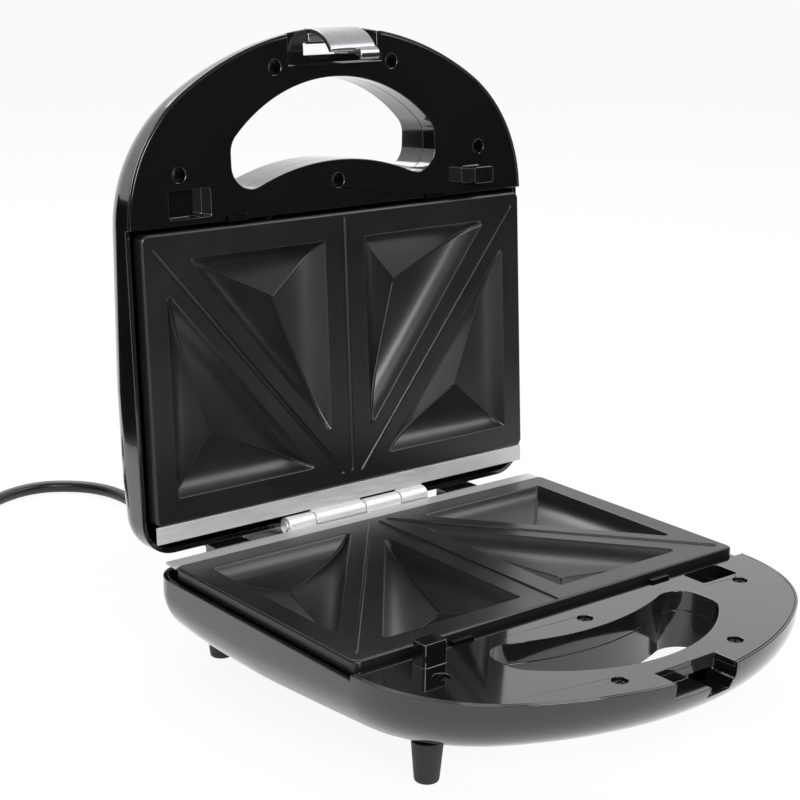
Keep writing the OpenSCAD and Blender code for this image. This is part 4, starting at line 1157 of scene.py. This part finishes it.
# floor and light: the lamps are given by watts, size in metres, and where they hang
studio = {
    "sky": 0.45, "aim": (0, 0, 0.1),
    "lamps": [("keyLamp", 6, 0.5, (-0.75, -0.8, 0.8)), ("frontLamp", 8, 0.45, (-0.15, -1.1, 0.55)),
              ("fillLamp", 5, 0.6, (0.8, -0.5, 1.0)), ("backLamp", 11, 0.9, (0.25, 0.9, 1.2))],
    # the table in millimetres: half its width, and its thickness
    "tableHalf": 6000, "tableThickness": 20,
    # how much of its white glows, and how much less of it a mirror sees under the toaster
    "floorShare": 0.92, "underFrom": 0.08, "underTo": 0.13, "underShare": 0.2,
    # the way to the bright side of the room, how dim the other side is, and where one turns into the other
    "bright": (0.62, 0.78, 0), "shade": 0.3, "dimUntil": -0.1, "brightFrom": 0.35,
    # place on the table, width and height of each card
    "cards": {"front": ((0.38, -0.38), 0.95, 0.5), "left": ((-0.36, 0.28), 0.5, 0.22)},
    "cardThickness": 0.02, "cardFrom": 0.004}


def makeFloor():
    reach = studio["tableHalf"]
    table = boxMesh((-reach, -reach, -studio["tableThickness"]), (reach, reach, 0))
    floor = asObject(moved(table, toMetres), "floor")
    material = startMaterial("paintedTable")
    path = addNode(material, "ShaderNodeLightPath")
    # under the toaster a mirror sees the table in shadow
    place = addNode(material, "ShaderNodeTexCoord")
    away = addNode(material, "ShaderNodeVectorMath", {0: (place, "Object")}, operation="LENGTH")
    under = addNode(material, "ShaderNodeMapRange", {
        "Value": (away, "Value"), "From Min": studio["underFrom"], "From Max": studio["underTo"],
        "To Min": studio["underShare"], "To Max": 1.0})
    mirror = addNode(material, "ShaderNodeMath", {
        0: (under, 0), 1: (path, "Is Glossy Ray")}, operation="MULTIPLY")
    seen = addNode(material, "ShaderNodeMath", {
        0: (path, "Is Camera Ray"), 1: (mirror, 0)}, operation="MAXIMUM")
    seen = addNode(material, "ShaderNodeMath", {
        0: (seen, 0), 1: (path, "Is Transmission Ray")}, operation="MAXIMUM")
    share = addNode(material, "ShaderNodeMath", {0: (seen, 0), 1: studio["floorShare"]}, operation="MULTIPLY")
    plain = addNode(material, "ShaderNodeBsdfDiffuse", {"Color": colour("#fdfdfd")})
    glow = addNode(material, "ShaderNodeEmission", {"Color": (1, 1, 1, 1), "Strength": 1.0})
    mix = addNode(material, "ShaderNodeMixShader", {0: (share, 0), 1: (plain, 0), 2: (glow, 0)})
    floor.data.materials.append(closeMaterial(material, mix))


def makeWorld():
    # addNode serves the world too, because a world has a node tree as a material has
    world = bpy.data.worlds.new("studio")
    bpy.context.scene.world = world
    world.use_nodes = True
    world.node_tree.nodes.clear()
    path = addNode(world, "ShaderNodeLightPath")
    seen = addNode(world, "ShaderNodeMath", {
        0: (path, "Is Camera Ray"), 1: (path, "Is Glossy Ray")}, operation="MAXIMUM")
    seen = addNode(world, "ShaderNodeMath", {
        0: (seen, 0), 1: (path, "Is Transmission Ray")}, operation="MAXIMUM")
    # a mirror sees a white backdrop behind the toaster and a dim room on the other side
    way = addNode(world, "ShaderNodeTexCoord")
    facing = addNode(world, "ShaderNodeVectorMath", {
        0: (way, "Generated"), 1: studio["bright"]}, operation="DOT_PRODUCT")
    room = addNode(world, "ShaderNodeMapRange", {
        "Value": (facing, "Value"), "From Min": studio["dimUntil"], "From Max": studio["brightFrom"],
        "To Min": studio["shade"], "To Max": 1.0})
    backdrop = addNode(world, "ShaderNodeMath", {
        0: (room, 0), 1: (path, "Is Camera Ray")}, operation="MAXIMUM")
    # a mix of plain numbers takes them at inputs 2 and 3
    level = addNode(world, "ShaderNodeMix", {"Factor": (seen, 0), 2: studio["sky"], 3: (backdrop, 0)})
    sky = addNode(world, "ShaderNodeBackground", {"Color": (1, 1, 1, 1), "Strength": (level, 0)})
    addNode(world, "ShaderNodeOutputWorld", {"Surface": (sky, 0)})


def makeLamps():
    for name, watts, size, place in studio["lamps"]:
        light = bpy.data.lights.new(name, "AREA")
        light.energy = watts
        light.size = size
        holder = bpy.data.objects.new(name, light)
        holder.location = place
        holder.rotation_euler = (Vector(studio["aim"]) - Vector(place)).to_track_quat("-Z", "Y").to_euler()
        bpy.context.scene.collection.objects.link(holder)


def makeCards():
    # dark cards seen only in reflections keep the gloss of the open lid and of its side black
    material = startMaterial("blackCard")
    place = (addNode(material, "ShaderNodeTexCoord"), "Object")
    fibre = addNode(material, "ShaderNodeTexNoise", {"Vector": place, "Scale": perMm(5)})
    shade = addNode(material, "ShaderNodeMix", {
        0: (fibre, 0), 6: colour("#0d0d0d"), 7: colour("#151515")}, data_type="RGBA")
    closeMaterial(material, addNode(material, "ShaderNodeBsdfDiffuse", {"Color": (shade, 2)}))
    for name, ((x, y), width, height) in studio["cards"].items():
        card = block((0, 0), (width, studio["cardThickness"]), studio["cardFrom"], height)
        moved(card, Matrix.Translation((x, y, 0)) @ Matrix.Rotation(math.atan2(x, -y), 4, "Z"))
        panel = asObject(card, name + "Card")
        panel.data.materials.append(material)
        panel.visible_camera = False
        panel.visible_diffuse = False
        panel.visible_shadow = False
        panel.visible_transmission = False


makeFloor()
makeWorld()
makeLamps()
makeCards()
bpy.context.scene.view_settings.view_transform = "Standard"
